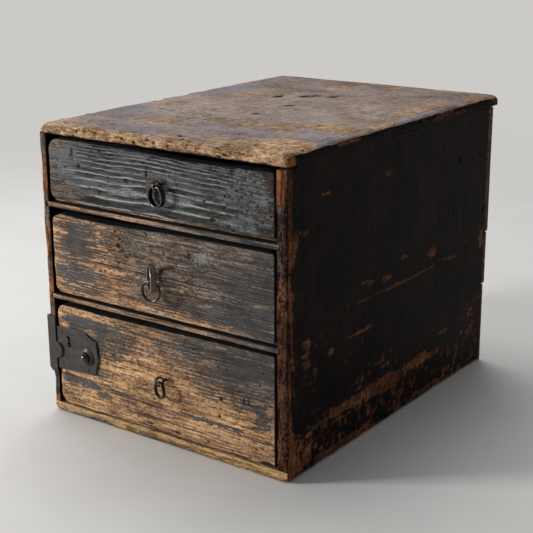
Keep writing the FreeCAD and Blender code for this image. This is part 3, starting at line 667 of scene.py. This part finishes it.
def side_painter(sign):
    """Outer side of the case: dark lacquer, worn bare at the front corner, in bands and flecks,
    with painted shade on its inner faces and a little on the outer face low down.
    The left side has the places of the right one in turned order."""
    def paint_it(p, n):
        u, v = p[:, 1] - FRONT, p[:, 2]
        along = u if sign > 0 else REAR - FRONT - u
        ragged = 0.6 * noise(p, (9, 14, 4), 31 + sign, 3)
        outer, inner, ahead = facing(n, 0, sign), facing(n, 0, -sign), facing(n, 1, -1)
        strip = 6.0 + 2.0 * noise(p, (20, 20, 26), 33 + sign, 2)
        strip = strip + 4.0 * noise(p, (6, 3, 12), 34 + sign, 3)
        strip = strip + 13 * (1 - rise(v, 6, 46)) + 6 * np.exp(-((v - 216) / 14) ** 2)
        bare = 0.82 * (1 - rise(u, strip - 4, strip + 6))
        bare = np.maximum(bare, blot(along, v, ragged, SIDE_BARE))
        low = 1 - rise(v, 24, 66)
        flecks = rise(noise(p, (4, 5, 3.0), 35 + sign, 3), 0.3, 0.75)
        flecks = flecks * (1 - 0.75 * rise(v, 120, 240))
        mottle = low * rise(noise(p, (8, 5, 7), 36 + sign, 3), -0.3, 0.6)
        marks = pits(along, v, SIDE_MARKS + scatter(37 + sign, 60, (20, 355), (12, 280), (0.5, 1.2),
                                                    1.2, (0.2, 0.6)))
        groove = rise(noise(p, (2.2, 9, 26), 40 + sign, 2), -0.05, 0.6)
        worn_front = rise(noise(p, (7, 9, 14), 42 + sign, 3), -0.25, 0.45)
        top_end = rise(v, TOP_FOOT - 2, TOP_FOOT + 1) * (1 - rise(u, 9, 15))
        light, grey = side_edge(p, sign, worn_front)
        worn_rim = outer * (1 - rise(u, 1.5, 6))
        worn_rim = worn_rim * rise(noise(p, (6, 6, 12), 44 + sign, 2), -0.2, 0.6)
        return dict(
            depth=outer * (0.2 * bare + 0.45 * rise(noise(p, 80, 39, 2), -0.6, 0.9) + 0.3 * mottle
                           + marks + 0.12 * rise(noise(p, (9, 3, 60), 41, 2), -0.3, 0.6))
            + ahead * (0.8 * groove + 0.3 * worn_front),
            paint=outer * (1.05 - bare - 0.5 * flecks - 0.62 * mottle)
            + ahead * (0.1 + 0.4 * (sign > 0) - 0.4 * light),
            tone=outer * (0.1 * low) + ahead * (0.95 * grey - 0.15),
            # The inner faces get painted shade, and the outer face a little painted shade low down
            dirt=outer * (np.clip(0.8 * marks, 0, 1) + 0.1 * low) + ahead * 0.5 * groove
            + 1.3 * inner + 0.04,
            pale=ahead * light * (1.0 - 0.5 * groove) + outer * (0.9 * top_end + 0.45 * worn_rim))
    return paint_it


def bottom_painter(p, n):
    """Pale front edge, worn and with a painted highlight along its upper rim, darker near the
    ground; its upper face gets painted shade.
    """
    ring = rings(p, 0, (-60.0, -30.0, 0.0), 0.02, 2.0, 51)
    ahead, up = facing(n, 1, -1), facing(n, 2, 1)
    wear = rise(noise(p, (14, 9, 3), 52, 2), -0.1, 0.8)
    rim = rise(p[:, 2], BASE - 5.5, BASE - 2.5)
    ground = 1 - rise(p[:, 2], 0.4, 4.0)
    return dict(
        depth=ahead * (0.8 * wear + 0.25 * (1 - ridge(ring, 3.0))) + 0.2 * (1 - ahead),
        paint=ahead * (0.12 + 0.35 * noise(p, (26, 9, 4), 53, 2) - 0.3 * rim),
        tone=ahead * (0.25 - 0.4 * rim + 0.4 * noise(p, 24, 54, 2)) + 0.5 * (1 - ahead),
        # Darker near the ground; the upper face gets painted shade
        dirt=0.05 + ahead * (0.25 * wear + 0.5 * ground) + 0.8 * up * (1 - rim),
        # The worn upper rim is lightened further by a painted highlight
        pale=ahead * (0.15 + 0.55 * rim))


def shelf_painter(seed, turn_grey):
    """Shelf edge: bare on the left, grey from the given place on, with splits along the grain;
    the faces behind the edge get painted shade.
    """
    def paint_it(p, n):
        u = p[:, 0] - LEFT
        ahead = facing(n, 1, -1)
        split = rise(noise(p, (40, 9, 1.5), seed + 1, 2), 0.05, 0.6)
        return dict(
            depth=ahead * (0.35 * rise(noise(p, (14, 6, 3), seed + 2, 2), -0.2, 0.9) + 0.6 * split),
            paint=ahead * (0.3 * rise(u, turn_grey - 40, turn_grey + 60)
                           + 0.3 * noise(p, (20, 8, 4), seed + 3, 2)),
            tone=ahead * (0.05 + 0.8 * rise(u, turn_grey - 60, turn_grey + 60)) + 0.3 * (1 - ahead),
            # The faces behind the front edge get painted shade
            dirt=0.04 + 0.5 * ahead * split + 1.2 * (1 - ahead),
            pale=np.zeros(len(p)))
    return paint_it


def gap_shade_and_grime(n):
    """Painted shade, with some grime, on the upper, lower and end faces of a drawer front, in the
    gaps of the case.
    """
    return 1.4 * (1 - facing(n, 1, -1)) * (1 - facing(n, 1, 1))


def worn_edge(p, node, seed):
    """1 along a drawer front's edges, where hands have worn it, fading a few millimetres in."""
    lo, hi = span(node)
    inset = np.min([p[:, 0] - lo[0], hi[0] - p[:, 0], p[:, 2] - lo[2], hi[2] - p[:, 2]], axis=0)
    reach = 3.4 + 2.2 * noise(p, (12, 12, 8), seed, 2)
    return 1 - rise(inset, 0.3 * reach, reach + 1.5)


TOP_FRONT_NICKS = [
    (49, 254, 1.5, 2, 1.3), (41, 267, 1.4, 3, 1), (40, 263, 2.4, 1.4, 0.8),
    (76, 271, 2.6, 1.4, 1.1), (107, 248, 1.6, 1.6, 0.9), (132, 257, 1.2, 3.4, 0.9),
    (206, 226, 3.4, 1.6, 1.1), (75, 233, 2.6, 1.2, 0.9), (219, 238, 1.2, 2.6, 0.8),
    (66, 270, 2.4, 1, 0.8)]
TOP_FRONT_BARE = [
    (24, 230, 15, 9, 0.6), (48, 223, 30, 4.5, 0.62), (78, 221, 34, 2.6, 0.7),
    (150, 219, 60, 2, 0.5), (207, 226, 7, 3.6, 0.9), (66, 247.5, 4, 1.1, 0.9), (22, 273, 9, 5, 0.5),
    (265, 266, 7, 9, 0.55), (262, 223, 14, 4, 0.6), (15, 246, 5, 14, 0.4), (150, 222, 5, 2, 0.6),
    (262, 240, 9, 9, 0.45)]
# The smoother square round the top pull: its middle and half its width
PLAIN_U, PLAIN_V, PLAIN_HALF = 144, 246.0, 13.2


def top_front_painter(p, n):
    """Charred grey front with strong raised grain, whose worn crests carry a painted highlight,
    bare along its foot and lower left corner.
    """
    u, v = p[:, 0] - LEFT, p[:, 2]
    ragged = 0.5 * noise(p, (15, 10, 3.6), 61, 3)
    ahead = facing(n, 1, -1)
    level = v + 0.055 * np.log1p(np.exp((u - 138) / 14)) * 14 + 1.1 * noise(p, (80, 30, 60), 62, 2)
    level = level + 0.55 * noise(p, (18, 10, 7), 63, 2)
    phase = np.log(3.0 + 0.125 * np.maximum(272 - level, -16)) / 0.125
    plain = rise(PLAIN_HALF - np.maximum(np.abs(u - PLAIN_U), np.abs(v - PLAIN_V)), 0, 1.2)
    lens = blot(u, v, 0.3 * ragged, [(106, 236.5, 25, 4.6, 1), (171, 236, 15, 4.4, 1)])
    reach = rise(u, 26, 66) * (1 - 0.7 * rise(u, 190, 250)) * (1 - plain) * (1 - 0.8 * lens)
    patchy = 0.45 + 0.75 * rise(noise(p, (22, 10, 5), 68, 3), -0.5, 0.5)
    crest = ridge(phase, 1.0, 0.17)
    fine = ridge(level + 0.5 * noise(p, (24, 9, 4), 69, 2), 2.1, 0.24)
    rough = rise(noise(p, (5, 9, 2.6), 70, 3), -0.2, 0.6) * (0.35 + 0.65 * rise(u, 180, 230))
    nicks = pits(u, v, TOP_FRONT_NICKS
                 + scatter(64, 70, (16, 268), (222, 275), (0.5, 1.1), 1.3, (0.3, 0.9))
                 + scatter(65, 110, (205, 271), (220, 277), (0.4, 1.0), 1.2, (0.4, 1.1)))
    bare = blot(u, v, ragged, TOP_FRONT_BARE)
    bare = np.maximum(bare, 0.5 * worn_edge(p, "top_drawer_front", 59))
    grime = (0.7 * reach * patchy * (1 - crest) ** 3
             + 0.3 * (1 - fine) * (1 - plain) * (1 - 0.6 * lens) + 0.9 * nicks + 0.35 * rough
             + 0.4 * blot(u, v, ragged, [(268, 268, 12, 14, 1)]))
    return dict(
        depth=ahead * (1.2 * reach * patchy * (1 - crest) + 0.3 * (1 - reach) * (1 - fine)
                       + 0.4 * plain + nicks + 0.5 * rough
                       + 0.35 * rise(noise(p, 50, 66, 2), -0.5, 0.9)),
        paint=ahead * (0.85 - 0.95 * bare - 0.4 * plain - 0.2 * lens),
        tone=0.85 - 1.2 * bare + 0.15 * noise(p, 30, 67, 2) - 0.25 * plain,
        dirt=ahead * np.clip(grime, 0, 1) + gap_shade_and_grime(n),
        # Worn crests of the raised grain, lightened further by a painted highlight
        pale=ahead * (1.1 * reach * patchy * crest ** 2 + 0.42 * lens
                      + 0.36 * fine * (1 - plain) * (1 - 0.5 * rough) + 0.22 * plain))


MIDDLE_HOLES = [
    (92, 198, 1.2, 1.2, 1.4), (97, 192, 1.8, 1, 1.4), (95, 185, 2.4, 2, 1.6),
    (100, 181, 1.4, 1.4, 1.4), (105, 176, 1.8, 1, 1), (130, 201, 0.9, 1.6, 1.2),
    (120, 193, 0.9, 0.9, 1), (83, 161, 1.4, 0.9, 1), (164, 179, 1.1, 0.8, 1), (205, 186, 1, 1, 1),
    (252, 196, 0.9, 0.9, 0.8), (200, 169, 1.4, 0.8, 0.9)]
MIDDLE_FLAKES = [
    (44, 196, 28, 10, 0.6), (42, 181, 28, 14, 0.74), (40, 168, 30, 9, 0.56), (46, 157, 32, 6, 0.5),
    (40, 149, 32, 11, 0.72), (56, 139, 30, 8, 0.6), (24, 159, 12, 7, 0.5), (92, 174, 30, 22, 0.42),
    (195, 137, 70, 8, 0.5), (240, 142, 36, 12, 0.52), (232, 168, 30, 22, 0.42),
    (262, 176, 16, 34, 0.44), (158, 142, 44, 9, 0.46), (80, 204, 34, 7, 0.44),
    (38, 183, 19, 13, 0.95), (42, 146, 22, 8, 0.88)]
MIDDLE_PALE = [
    (189, 189, 8, 4.6, 0.75), (197, 191, 6, 3, 0.7), (186, 183, 4, 3, 0.6), (212, 192, 6, 2, 0.4)]
MIDDLE_TAN = [(110, 133, 70, 6, 1.0), (170, 129, 70, 2.6, 0.8)]
CRACK_HEIGHT, CRACK_HALF = 164.2, 0.55


def middle_front_painter(p, n):
    """Bare wood with lacquer flakes on the left, dull grey brown on the right, worm holes and one
    long crack."""
    u, v = p[:, 0] - LEFT, p[:, 2]
    ragged = 0.6 * noise(p, (17, 10, 2.4), 81, 3)
    ahead = facing(n, 1, -1)
    level = v + 0.02 * u + 1.6 * noise(p, (90, 30, 40), 82, 2) + 0.7 * noise(p, (24, 10, 5), 83, 2)
    grain = ridge(level, 2.9, 0.26)
    patchy = rise(noise(p, (36, 10, 9), 88, 2), -0.6, 0.6)
    wander = v - CRACK_HEIGHT - 1.2 * noise(p, (50, 20, 400), 89, 2) + 0.006 * (u - 120)
    crack = np.exp(-(wander / CRACK_HALF) ** 2) * rise(u, 24, 60) * (1 - rise(u, 205, 232))
    crack = crack * rise(noise(p, (20, 9, 90), 90, 1), -0.7, -0.1)
    holes = pits(u, v, MIDDLE_HOLES
                 + scatter(84, 170, (70, 190), (150, 205), (0.4, 0.9), 1.2, (0.6, 1.3))
                 + scatter(85, 110, (20, 268), (130, 206), (0.35, 0.8), 1.3, (0.4, 1.0)))
    flakes = blot(u, v, ragged, MIDDLE_FLAKES)
    flakes = flakes * (1 - 0.55 * worn_edge(p, "middle_drawer_front", 78))
    pale = blot(u, v, 0.9 * ragged, MIDDLE_PALE)
    tan = np.maximum(0.95 * (1 - rise(u, 84, 150)), blot(u, v, ragged, MIDDLE_TAN))
    tan = np.maximum(tan, 0.36 * (1 - rise(u, 150, 215)))
    tan = tan - 0.4 * blot(u, v, ragged, [(104, 192, 34, 16, 1), (120, 168, 30, 8, 0.8)])
    return dict(
        depth=ahead * (0.5 * patchy * (1 - grain) + holes + 0.8 * crack
                       + 0.3 * rise(noise(p, 45, 86, 2), -0.5, 0.9)),
        paint=ahead * (0.04 + flakes * (1.3 - 0.8 * grain)
                       + 0.12 * rise(u, 120, 250) * (1 - tan) - 0.4 * pale),
        tone=1.0 - 0.95 * tan + 0.2 * noise(p, (40, 20, 14), 87, 2) + 0.3 * pale
        + 0.25 * patchy * (grain - 0.5),
        dirt=ahead * np.clip(0.9 * holes + 0.9 * crack + 0.42 * patchy * (1 - grain), 0, 1)
        + gap_shade_and_grime(n),
        pale=ahead * 0.8 * pale)


BOTTOM_CRACKS = [
    (117, 13.5, 7, 0.8, 1.6), (126, 16.5, 5, 0.8, 1.3), (160, 15, 4, 1.2, 1.2),
    (238, 66, 0.7, 3.4, 1), (243, 66, 0.7, 3, 0.9), (263, 12.5, 7, 2, 1.5), (210, 45, 1.4, 1.8, 1),
    (212, 62, 2.2, 2, 0.9)]
BOTTOM_FLAKES = [
    (46, 102, 26, 7, 0.9), (62, 97, 20, 10, 0.82), (86, 99, 22, 9, 0.6), (30, 98, 9, 6, 0.5),
    (82, 80, 24, 16, 0.55), (66, 86, 8, 16, 0.64), (68, 52, 14, 7, 0.55), (96, 88, 20, 14, 0.46),
    (46, 38.5, 32, 5, 0.76), (92, 37.5, 34, 4.2, 0.58), (24, 37, 10, 6, 0.7), (66, 30, 9, 4, 0.6),
    (192, 36.5, 38, 2.8, 0.66), (230, 36.5, 14, 2.6, 0.76), (258, 33, 16, 2.4, 0.5),
    (150, 30, 16, 2.4, 0.42), (176, 101, 66, 9, 0.52), (236, 98, 44, 16, 0.6),
    (244, 76, 32, 14, 0.54), (210, 62, 30, 8, 0.5), (258, 54, 16, 14, 0.6), (222, 82, 50, 20, 0.46),
    (264, 100, 14, 18, 0.6), (160, 88, 60, 14, 0.42)]
# Painted pools of warm light, mostly along the foot of the bottom front
BOTTOM_PAINTED_LIGHT = [
    (36, 24, 28, 14, 0.4), (120, 26, 60, 8, 0.3), (190, 24, 60, 7, 0.3), (110, 55, 34, 14, 0.25),
    (26, 108, 16, 4, 0.3), (30, 91, 14, 3, 0.3)]


def bottom_front_painter(p, n):
    """Mostly bare tan wood, lacquer left in patches at the top, right and in a streak low down,
    with painted pools of light along its foot.
    """
    u, v = p[:, 0] - LEFT, p[:, 2]
    ragged = 0.62 * noise(p, (18, 10, 2.6), 91, 3)
    ahead = facing(n, 1, -1)
    level = v - 0.015 * u + 2.0 * noise(p, (80, 30, 50), 92, 2) + noise(p, (26, 10, 5), 93, 2)
    grain = ridge(level, 3.7, 0.3)
    patchy = rise(noise(p, (40, 10, 10), 97, 2), -0.6, 0.6)
    cracks = pits(u, v, BOTTOM_CRACKS
                  + scatter(94, 130, (14, 268), (14, 112), (0.4, 0.9), 1.8, (0.3, 0.9)))
    flakes = blot(u, v, ragged, BOTTOM_FLAKES)
    core = blot(u, v, 0.4 * ragged, [(37, 98.5, 19, 8, 1), (66, 96, 9, 9, 0.8)])
    flakes = np.maximum(flakes, core) * (1 - 0.5 * worn_edge(p, "bottom_drawer_front", 98))
    grey = np.clip((u - 70) / 200 + (v - 88) / 62, 0, 1) * rise(v, 30, 62) * rise(u, 80, 150)
    grime = 0.9 * cracks + 0.36 * patchy * (1 - grain) + 0.2 * rise(u, 150, 220)
    return dict(
        depth=ahead * (0.4 * patchy * (1 - grain) + cracks
                       + 0.35 * rise(noise(p, 45, 95, 2), -0.5, 0.9)),
        paint=ahead * (0.06 + flakes * (1.15 - 0.45 * grain)
                       - 0.3 * blot(u, v, ragged, [(125, 62, 36, 16, 1)])),
        tone=0.05 + 0.85 * grey + 0.16 * noise(p, (40, 20, 14), 96, 2)
        + 0.25 * patchy * (0.6 - grain),
        dirt=ahead * np.clip(grime, 0, 1) + gap_shade_and_grime(n),
        # Painted pools of light
        pale=ahead * blot(u, v, ragged, BOTTOM_PAINTED_LIGHT))


# Case

top_wood = worn_wood("worn_top_wood", 0, 1.0, RUSSET, PURPLE, HAZE, shine=0.72, gloss=0.22,
                     grainy=0.3)
side_wood = worn_wood("worn_side_wood", 2, 2.0, ROSE, DULL, JET, pale=(158, 102, 56), shine=0.6,
                      gloss=0.06, grainy=0.35)
bottom_wood = worn_wood("worn_bottom_wood", 0, 3.0, OCHRE, DULL, JET, pale=(206, 174, 122))
shelf_wood = worn_wood("worn_shelf_wood", 0, 4.0, UMBER, DULL, SLATE)
back_wood = worn_wood("worn_back_wood", 0, 6.0, BROWN, DULL, JET)
finger_spans = list(zip(FINGER_CUTS[:-1], FINGER_CUTS[1:]))
finger_seams = [(1, cut) for cut in FINGER_CUTS[1:-1]]


def finger_boxes(z0, z1, back):
    """Top or bottom board as boxes between the cuts of its finger joints."""
    boxes = []
    for index, (y0, y1) in enumerate(finger_spans):
        x0, x1 = (LEFT, RIGHT) if index % 2 == 0 else (LEFT_INNER, RIGHT_INNER)
        boxes.append(((x0, y0, z0), (x1, back if y1 == REAR else y1, z1)))
    return boxes


def front_lines(depth, step):
    """Further grid lines behind the front, where the rim is rounded."""
    return (), np.arange(FRONT + 1, FRONT + depth, step), ()


end_seams = finger_seams + [(0, LEFT_INNER), (0, RIGHT_INNER)]
end_skins = [(0, sign, side_painter(sign), side_wood) for sign in (-1, 1)]
board("top_plank", "top_board", finger_boxes(TOP_FOOT, HEIGHT, top_high[1]), (1.6, 1.6, 1.5),
      top_painter, top_wood, form=case_form, fine=front_lines(12, 1.0), seams=end_seams,
      skins=end_skins)
board("bottom_plank", "bottom_board", finger_boxes(0.0, BASE, REAR), (1.6, 3.0, 1.3),
      bottom_painter, bottom_wood, form=case_form, fine=front_lines(12, 1.2), seams=end_seams,
      skins=end_skins)

# A gap where the right side has shrunk below the top, and the mortise for the bolt in the left
SHRUNK_DEPTH, SHRUNK_GAP = 13.0, 2.4
MORTISE_DEPTH, BOLT_ROOM = 4.0, 1.0
bolt_low, bolt_high = span("lock_bolt")
shrunk = ((RIGHT_INNER, FRONT, TOP_FOOT - SHRUNK_GAP), (RIGHT, FRONT + SHRUNK_DEPTH, TOP_FOOT))
mortise = ((LEFT_INNER - MORTISE_DEPTH, *(bolt_low[1:] - BOLT_ROOM)),
           (LEFT_INNER, *(bolt_high[1:] + BOLT_ROOM)))
sides = (("left_side", -1, 2.0, LEFT_INNER - SHELF_HOUSING, LEFT_INNER, mortise),
         ("right_side", 1, 1.6, RIGHT_INNER, RIGHT_INNER + SHELF_HOUSING, shrunk))
for name, sign, step, x0, x1, cut in sides:
    lo, hi = span(name)
    side_boxes = [((lo[0], y0, 0.0 if k % 2 else BASE), (hi[0], y1, HEIGHT if k % 2 else TOP_FOOT))
                  for k, (y0, y1) in enumerate(finger_spans)]
    housings = [((x0, FRONT, z0), (x1, REAR, z1)) for z0, z1 in SHELF_ROWS]
    board(name + "_plank", name, side_boxes, (1.4, step, step), side_painter(sign), side_wood,
          cuts=housings + [cut], form=case_form, fine=front_lines(18, 1.1),
          seams=finger_seams + [(2, BASE), (2, TOP_FOOT)], skins=[(2, 1, top_painter, top_wood)])

for name, seed, turn_grey in (("lower_shelf", 101, 225), ("upper_shelf", 111, 140)):
    board(name + "_plank", name, [span(name)], (1.4, 9.0, 0.9), shelf_painter(seed, turn_grey),
          shelf_wood, fine=front_lines(12, 1.1))

for place, seed in (("lower", 121), ("middle", 131), ("upper", 141)):
    painter = plain_painter(0, (20.0, seed - 90.0, 0.0), seed, 3.6, paint=0.3, tone=0.45, dirt=0.3)
    name = place + "_back_board"
    board(place + "_back_plank", name, [span(name)], (2.6, 1.3, 2.0), painter, back_wood)

# Drawers

charred = worn_wood("charred_front_wood", 0, 11.0, BROWN, ASH, CHAR, pale=(152, 153, 149),
                    shine=0.6)
flaked = worn_wood("flaked_front_wood", 0, 12.0, AMBER, DULL, SLATE, pale=(142, 142, 138),
                   shine=0.65, grainy=0.85)
bare = worn_wood("bare_front_wood", 0, 13.0, TAN, DULL, SLATE, pale=(186, 152, 120), shine=0.65,
                 grainy=0.7)
fronts = {"top": (top_front_painter, charred, ((190, 66, 3.0), (270, 50, 1.0))),
          "middle": (middle_front_painter, flaked, ((80, 60, 2.8), (10, 40, 0.6))),
          "bottom": (bottom_front_painter, bare, ((90, 90, 2.0), (10, 30, 0.5)))}
bare_woods = {along: worn_wood("bare_wood_" + "xyz"[along], along, 14.0 + along, TAN, DULL, SLATE)
              for along in (0, 1)}
LIP = span("top_drawer_left_side")[0][1]
LEFT_TONGUE, RIGHT_TONGUE = span("top_drawer_left_side")[1][0], span("top_drawer_right_side")[0][0]
CAVITY_LEFT, CAVITY_BELOW, CAVITY_TOP = 4.6, 7.0, 35.8
lock_line = (bolt_low[2] + bolt_high[2]) / 2


def lock_cavity(front_low):
    """The hollow for the lock in the bottom drawer's front."""
    low = (front_low[0] + CAVITY_LEFT, front_low[1], lock_line - CAVITY_BELOW)
    top = span("lock_plate")[0][2] + CAVITY_TOP
    return low, (span("lock_spring")[1][0], span("keyhole_pin")[1][1], top)


for drawer, (painter, wood, dips) in fronts.items():
    lo, hi = span(drawer + "_drawer_front")
    floor_top = span(drawer + "_drawer_bottom")[1][2]
    front_boxes = [(lo, (hi[0], LIP, hi[2])),
                   ((LEFT_TONGUE, LIP, floor_top), (RIGHT_TONGUE, hi[1], hi[2]))]
    board(drawer + "_front_plank", drawer + "_drawer_front", front_boxes, (1.05, 1.2, 0.7),
          painter, wood, cuts=[lock_cavity(lo)] if drawer == "bottom" else (),
          form=front_form(lo, hi, dips))
    for part, along in (("left_side", 1), ("right_side", 1), ("back", 0), ("bottom", 0)):
        name = drawer + "_drawer_" + part
        seed = 200 + len(name) * 7
        board(drawer + "_tray_" + part, name, [span(name)],
              (3.0, 3.0, 1.6) if part == "bottom" else (2.2, 3.0, 2.2),
              plain_painter(along, (30.0, -40.0, 0.0), seed, 3.4), bare_woods[along], worn=1)

for node, obj in frame["nodes"].items():
    if slot_of[node] == "peg_wood":
        dress(obj, bare_woods[0])

# Ironwork

plate_iron = forged_iron("plate_iron", 21.0, PLATE_IRON, (74, 52, 40), 0.35, 0.46, 0.1)
ring_iron = forged_iron("ring_iron", 22.0, RING_IRON, (62, 44, 32), 0.7, 0.2, 0.8)
# The middle staple's iron is painted lighter, standing in for the light on it
painted_lit_eye_iron = forged_iron("painted_lit_brown_eye_iron", 23.0, PAINTED_LIT_EYE_IRON, (98, 72, 52), 0.45, 0.3, 0.6)

# A share in and a larger one out again, so that smoothing doesn't thin the iron
KEEP_SIZE = (0.5, -0.53)


def voxel_mesh(node, voxel):
    """Points and even quads of a node."""
    temp = add_object("forge_source", frame["nodes"][node].data.copy())
    temp.modifiers.new("weld", "WELD").merge_threshold = 1e-6
    remesh = temp.modifiers.new("remesh", "REMESH")
    remesh.mode = "VOXEL"
    remesh.voxel_size = voxel * MM
    shown = temp.evaluated_get(bpy.context.evaluated_depsgraph_get())
    mesh = bpy.data.meshes.new_from_object(shown)
    bpy.data.objects.remove(temp)
    points = np.zeros(len(mesh.vertices) * 3)
    mesh.vertices.foreach_get("co", points)
    faces = np.array([polygon.vertices[:] for polygon in mesh.polygons])
    bpy.data.meshes.remove(mesh)
    return points.reshape(-1, 3) / MM, faces


def forge(node, voxel, smooth, rough, material):
    """A hammered copy of an iron node: softened edges and a slightly uneven surface."""
    points, faces = voxel_mesh(node, voxel)
    points = relax(points, faces, smooth, KEEP_SIZE)
    normals = point_normals(points, faces)
    points = points - normals * (rough * (0.5 + 0.5 * noise(points, 2.6, 301, 2)))[:, None]
    points = np.clip(points, *span(node))
    obj = make_object(node + "_iron", points, faces)
    obj.data.materials.append(material)
    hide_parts(node)
    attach(obj, body_of[node])


for drawer in fronts:
    forge(drawer + "_pull_ring", 0.3, 6, 0.08, ring_iron)
    forge(drawer + "_pull_staple", 0.3, 6, 0.08, painted_lit_eye_iron if drawer == "middle" else ring_iron)
forge("lock_plate", 0.4, 3, 0.12, plate_iron)
forge("catch_plate", 0.4, 4, 0.16, plate_iron)
forge("lock_collar", 0.25, 3, 0.08, plate_iron)
forge("lock_button", 0.25, 3, 0.06, ring_iron)
for node in ("lock_nails", "catch_nails", "back_nails"):
    forge(node, 0.2, 3, 0.05, plate_iron)
for node in ("lock_bolt", "lock_bolt_guides", "lock_spring", "keyhole_pin"):
    dress(frame["nodes"][node], plate_iron)

# Floor, light and camera, with places in metres

BACKDROP = srgb(204, 202, 198)
FLOOR_HALF, FLOOR_LEVEL = 40.0, -0.0002
FADE_FROM, FADE_TO = 0.45, 1.7


def floor_material():
    """Pale ground that fades to the even colour of the backdrop away from the part."""
    g = Graph("pale_floor")
    tint = g.ramp(g.noise(9.0, 3, 0.5, 31.0), (0.3, 0.7), ((214, 212, 208), (220, 218, 214)))
    g.surface({"Base Color": tint, "Roughness": 0.9, "Specular IOR Level": 0.1})
    place = g.node("TexCoord").outputs["Object"]
    distance = g.node("VectorMath", {0: place}, operation="LENGTH").outputs["Value"]
    rays = g.node("LightPath").outputs
    seen = g.math("MAXIMUM", rays["Is Camera Ray"], rays["Is Glossy Ray"])
    far = g.math("MULTIPLY", g.step(distance, FADE_FROM, FADE_TO), seen)
    glow = g.node("Emission", {"Color": BACKDROP, "Strength": 1.0})
    both = g.node("MixShader", {0: far, 1: g.shader.outputs[0], 2: glow.outputs[0]})
    g.put(g.tree.nodes["Material Output"].inputs["Surface"], both.outputs[0])
    return g.material


floor_mesh = bpy.data.meshes.new("floor")
floor_corners = [(x * FLOOR_HALF, y * FLOOR_HALF, FLOOR_LEVEL)
                 for x, y in ((-1, -1), (1, -1), (1, 1), (-1, 1))]
floor_mesh.from_pydata(floor_corners, [], [(0, 1, 2, 3)])
floor_mesh.materials.append(floor_material())
floor = add_object("floor", floor_mesh)


def area_light(name, place, aim, width, power):
    """A square light at a place, turned to its aim."""
    lamp = bpy.data.lights.new(name, "AREA")
    lamp.size, lamp.energy = width, power
    obj = add_object(name, lamp)
    obj.location = place
    obj.rotation_euler = (Vector(aim) - Vector(place)).to_track_quat("-Z", "Y").to_euler()


area_light("key", (-1.46, -1.42, 0.62), (0.0, -0.15, 0.15), 0.42, 40.0)
area_light("sky", (-0.7, 0.5, 1.9), (0.0, 0.0, 0.2), 1.6, 30.0)

SKY_COLOUR, SKY_STRENGTH = (0.93, 0.95, 1.0, 1.0), 0.22
world = bpy.data.worlds.new("studio")
scene.world = world
world.use_nodes = True
background = world.node_tree.nodes["Background"].inputs
background["Color"].default_value = SKY_COLOUR
background["Strength"].default_value = SKY_STRENGTH

FRAME_PIXELS, FOCAL_PIXELS, SENSOR = 533.0, 1201.75, 36.0
CAMERA_ASIDE, CAMERA_AHEAD, CAMERA_HEIGHT = 686.70, 776.455, 484.518
VIEW_FORWARD, VIEW_RIGHT = (-0.564014, 0.773624, -0.288781), (0.809083, 0.587665, -0.005894)
camera_data = bpy.data.cameras.new("camera")
camera_data.sensor_width = SENSOR
camera_data.lens = FOCAL_PIXELS / FRAME_PIXELS * SENSOR
camera = add_object("camera", camera_data)
forward, right = Vector(VIEW_FORWARD).normalized(), Vector(VIEW_RIGHT)
right = (right - forward * right.dot(forward)).normalized()
turn = Matrix((right, right.cross(forward), -forward)).transposed().to_4x4()
camera_place = Vector((CAMERA_ASIDE, FRONT - CAMERA_AHEAD, CAMERA_HEIGHT)) * MM
camera.matrix_world = Matrix.Translation(camera_place) @ turn
scene.camera = camera
scene.view_settings.view_transform = "Standard"
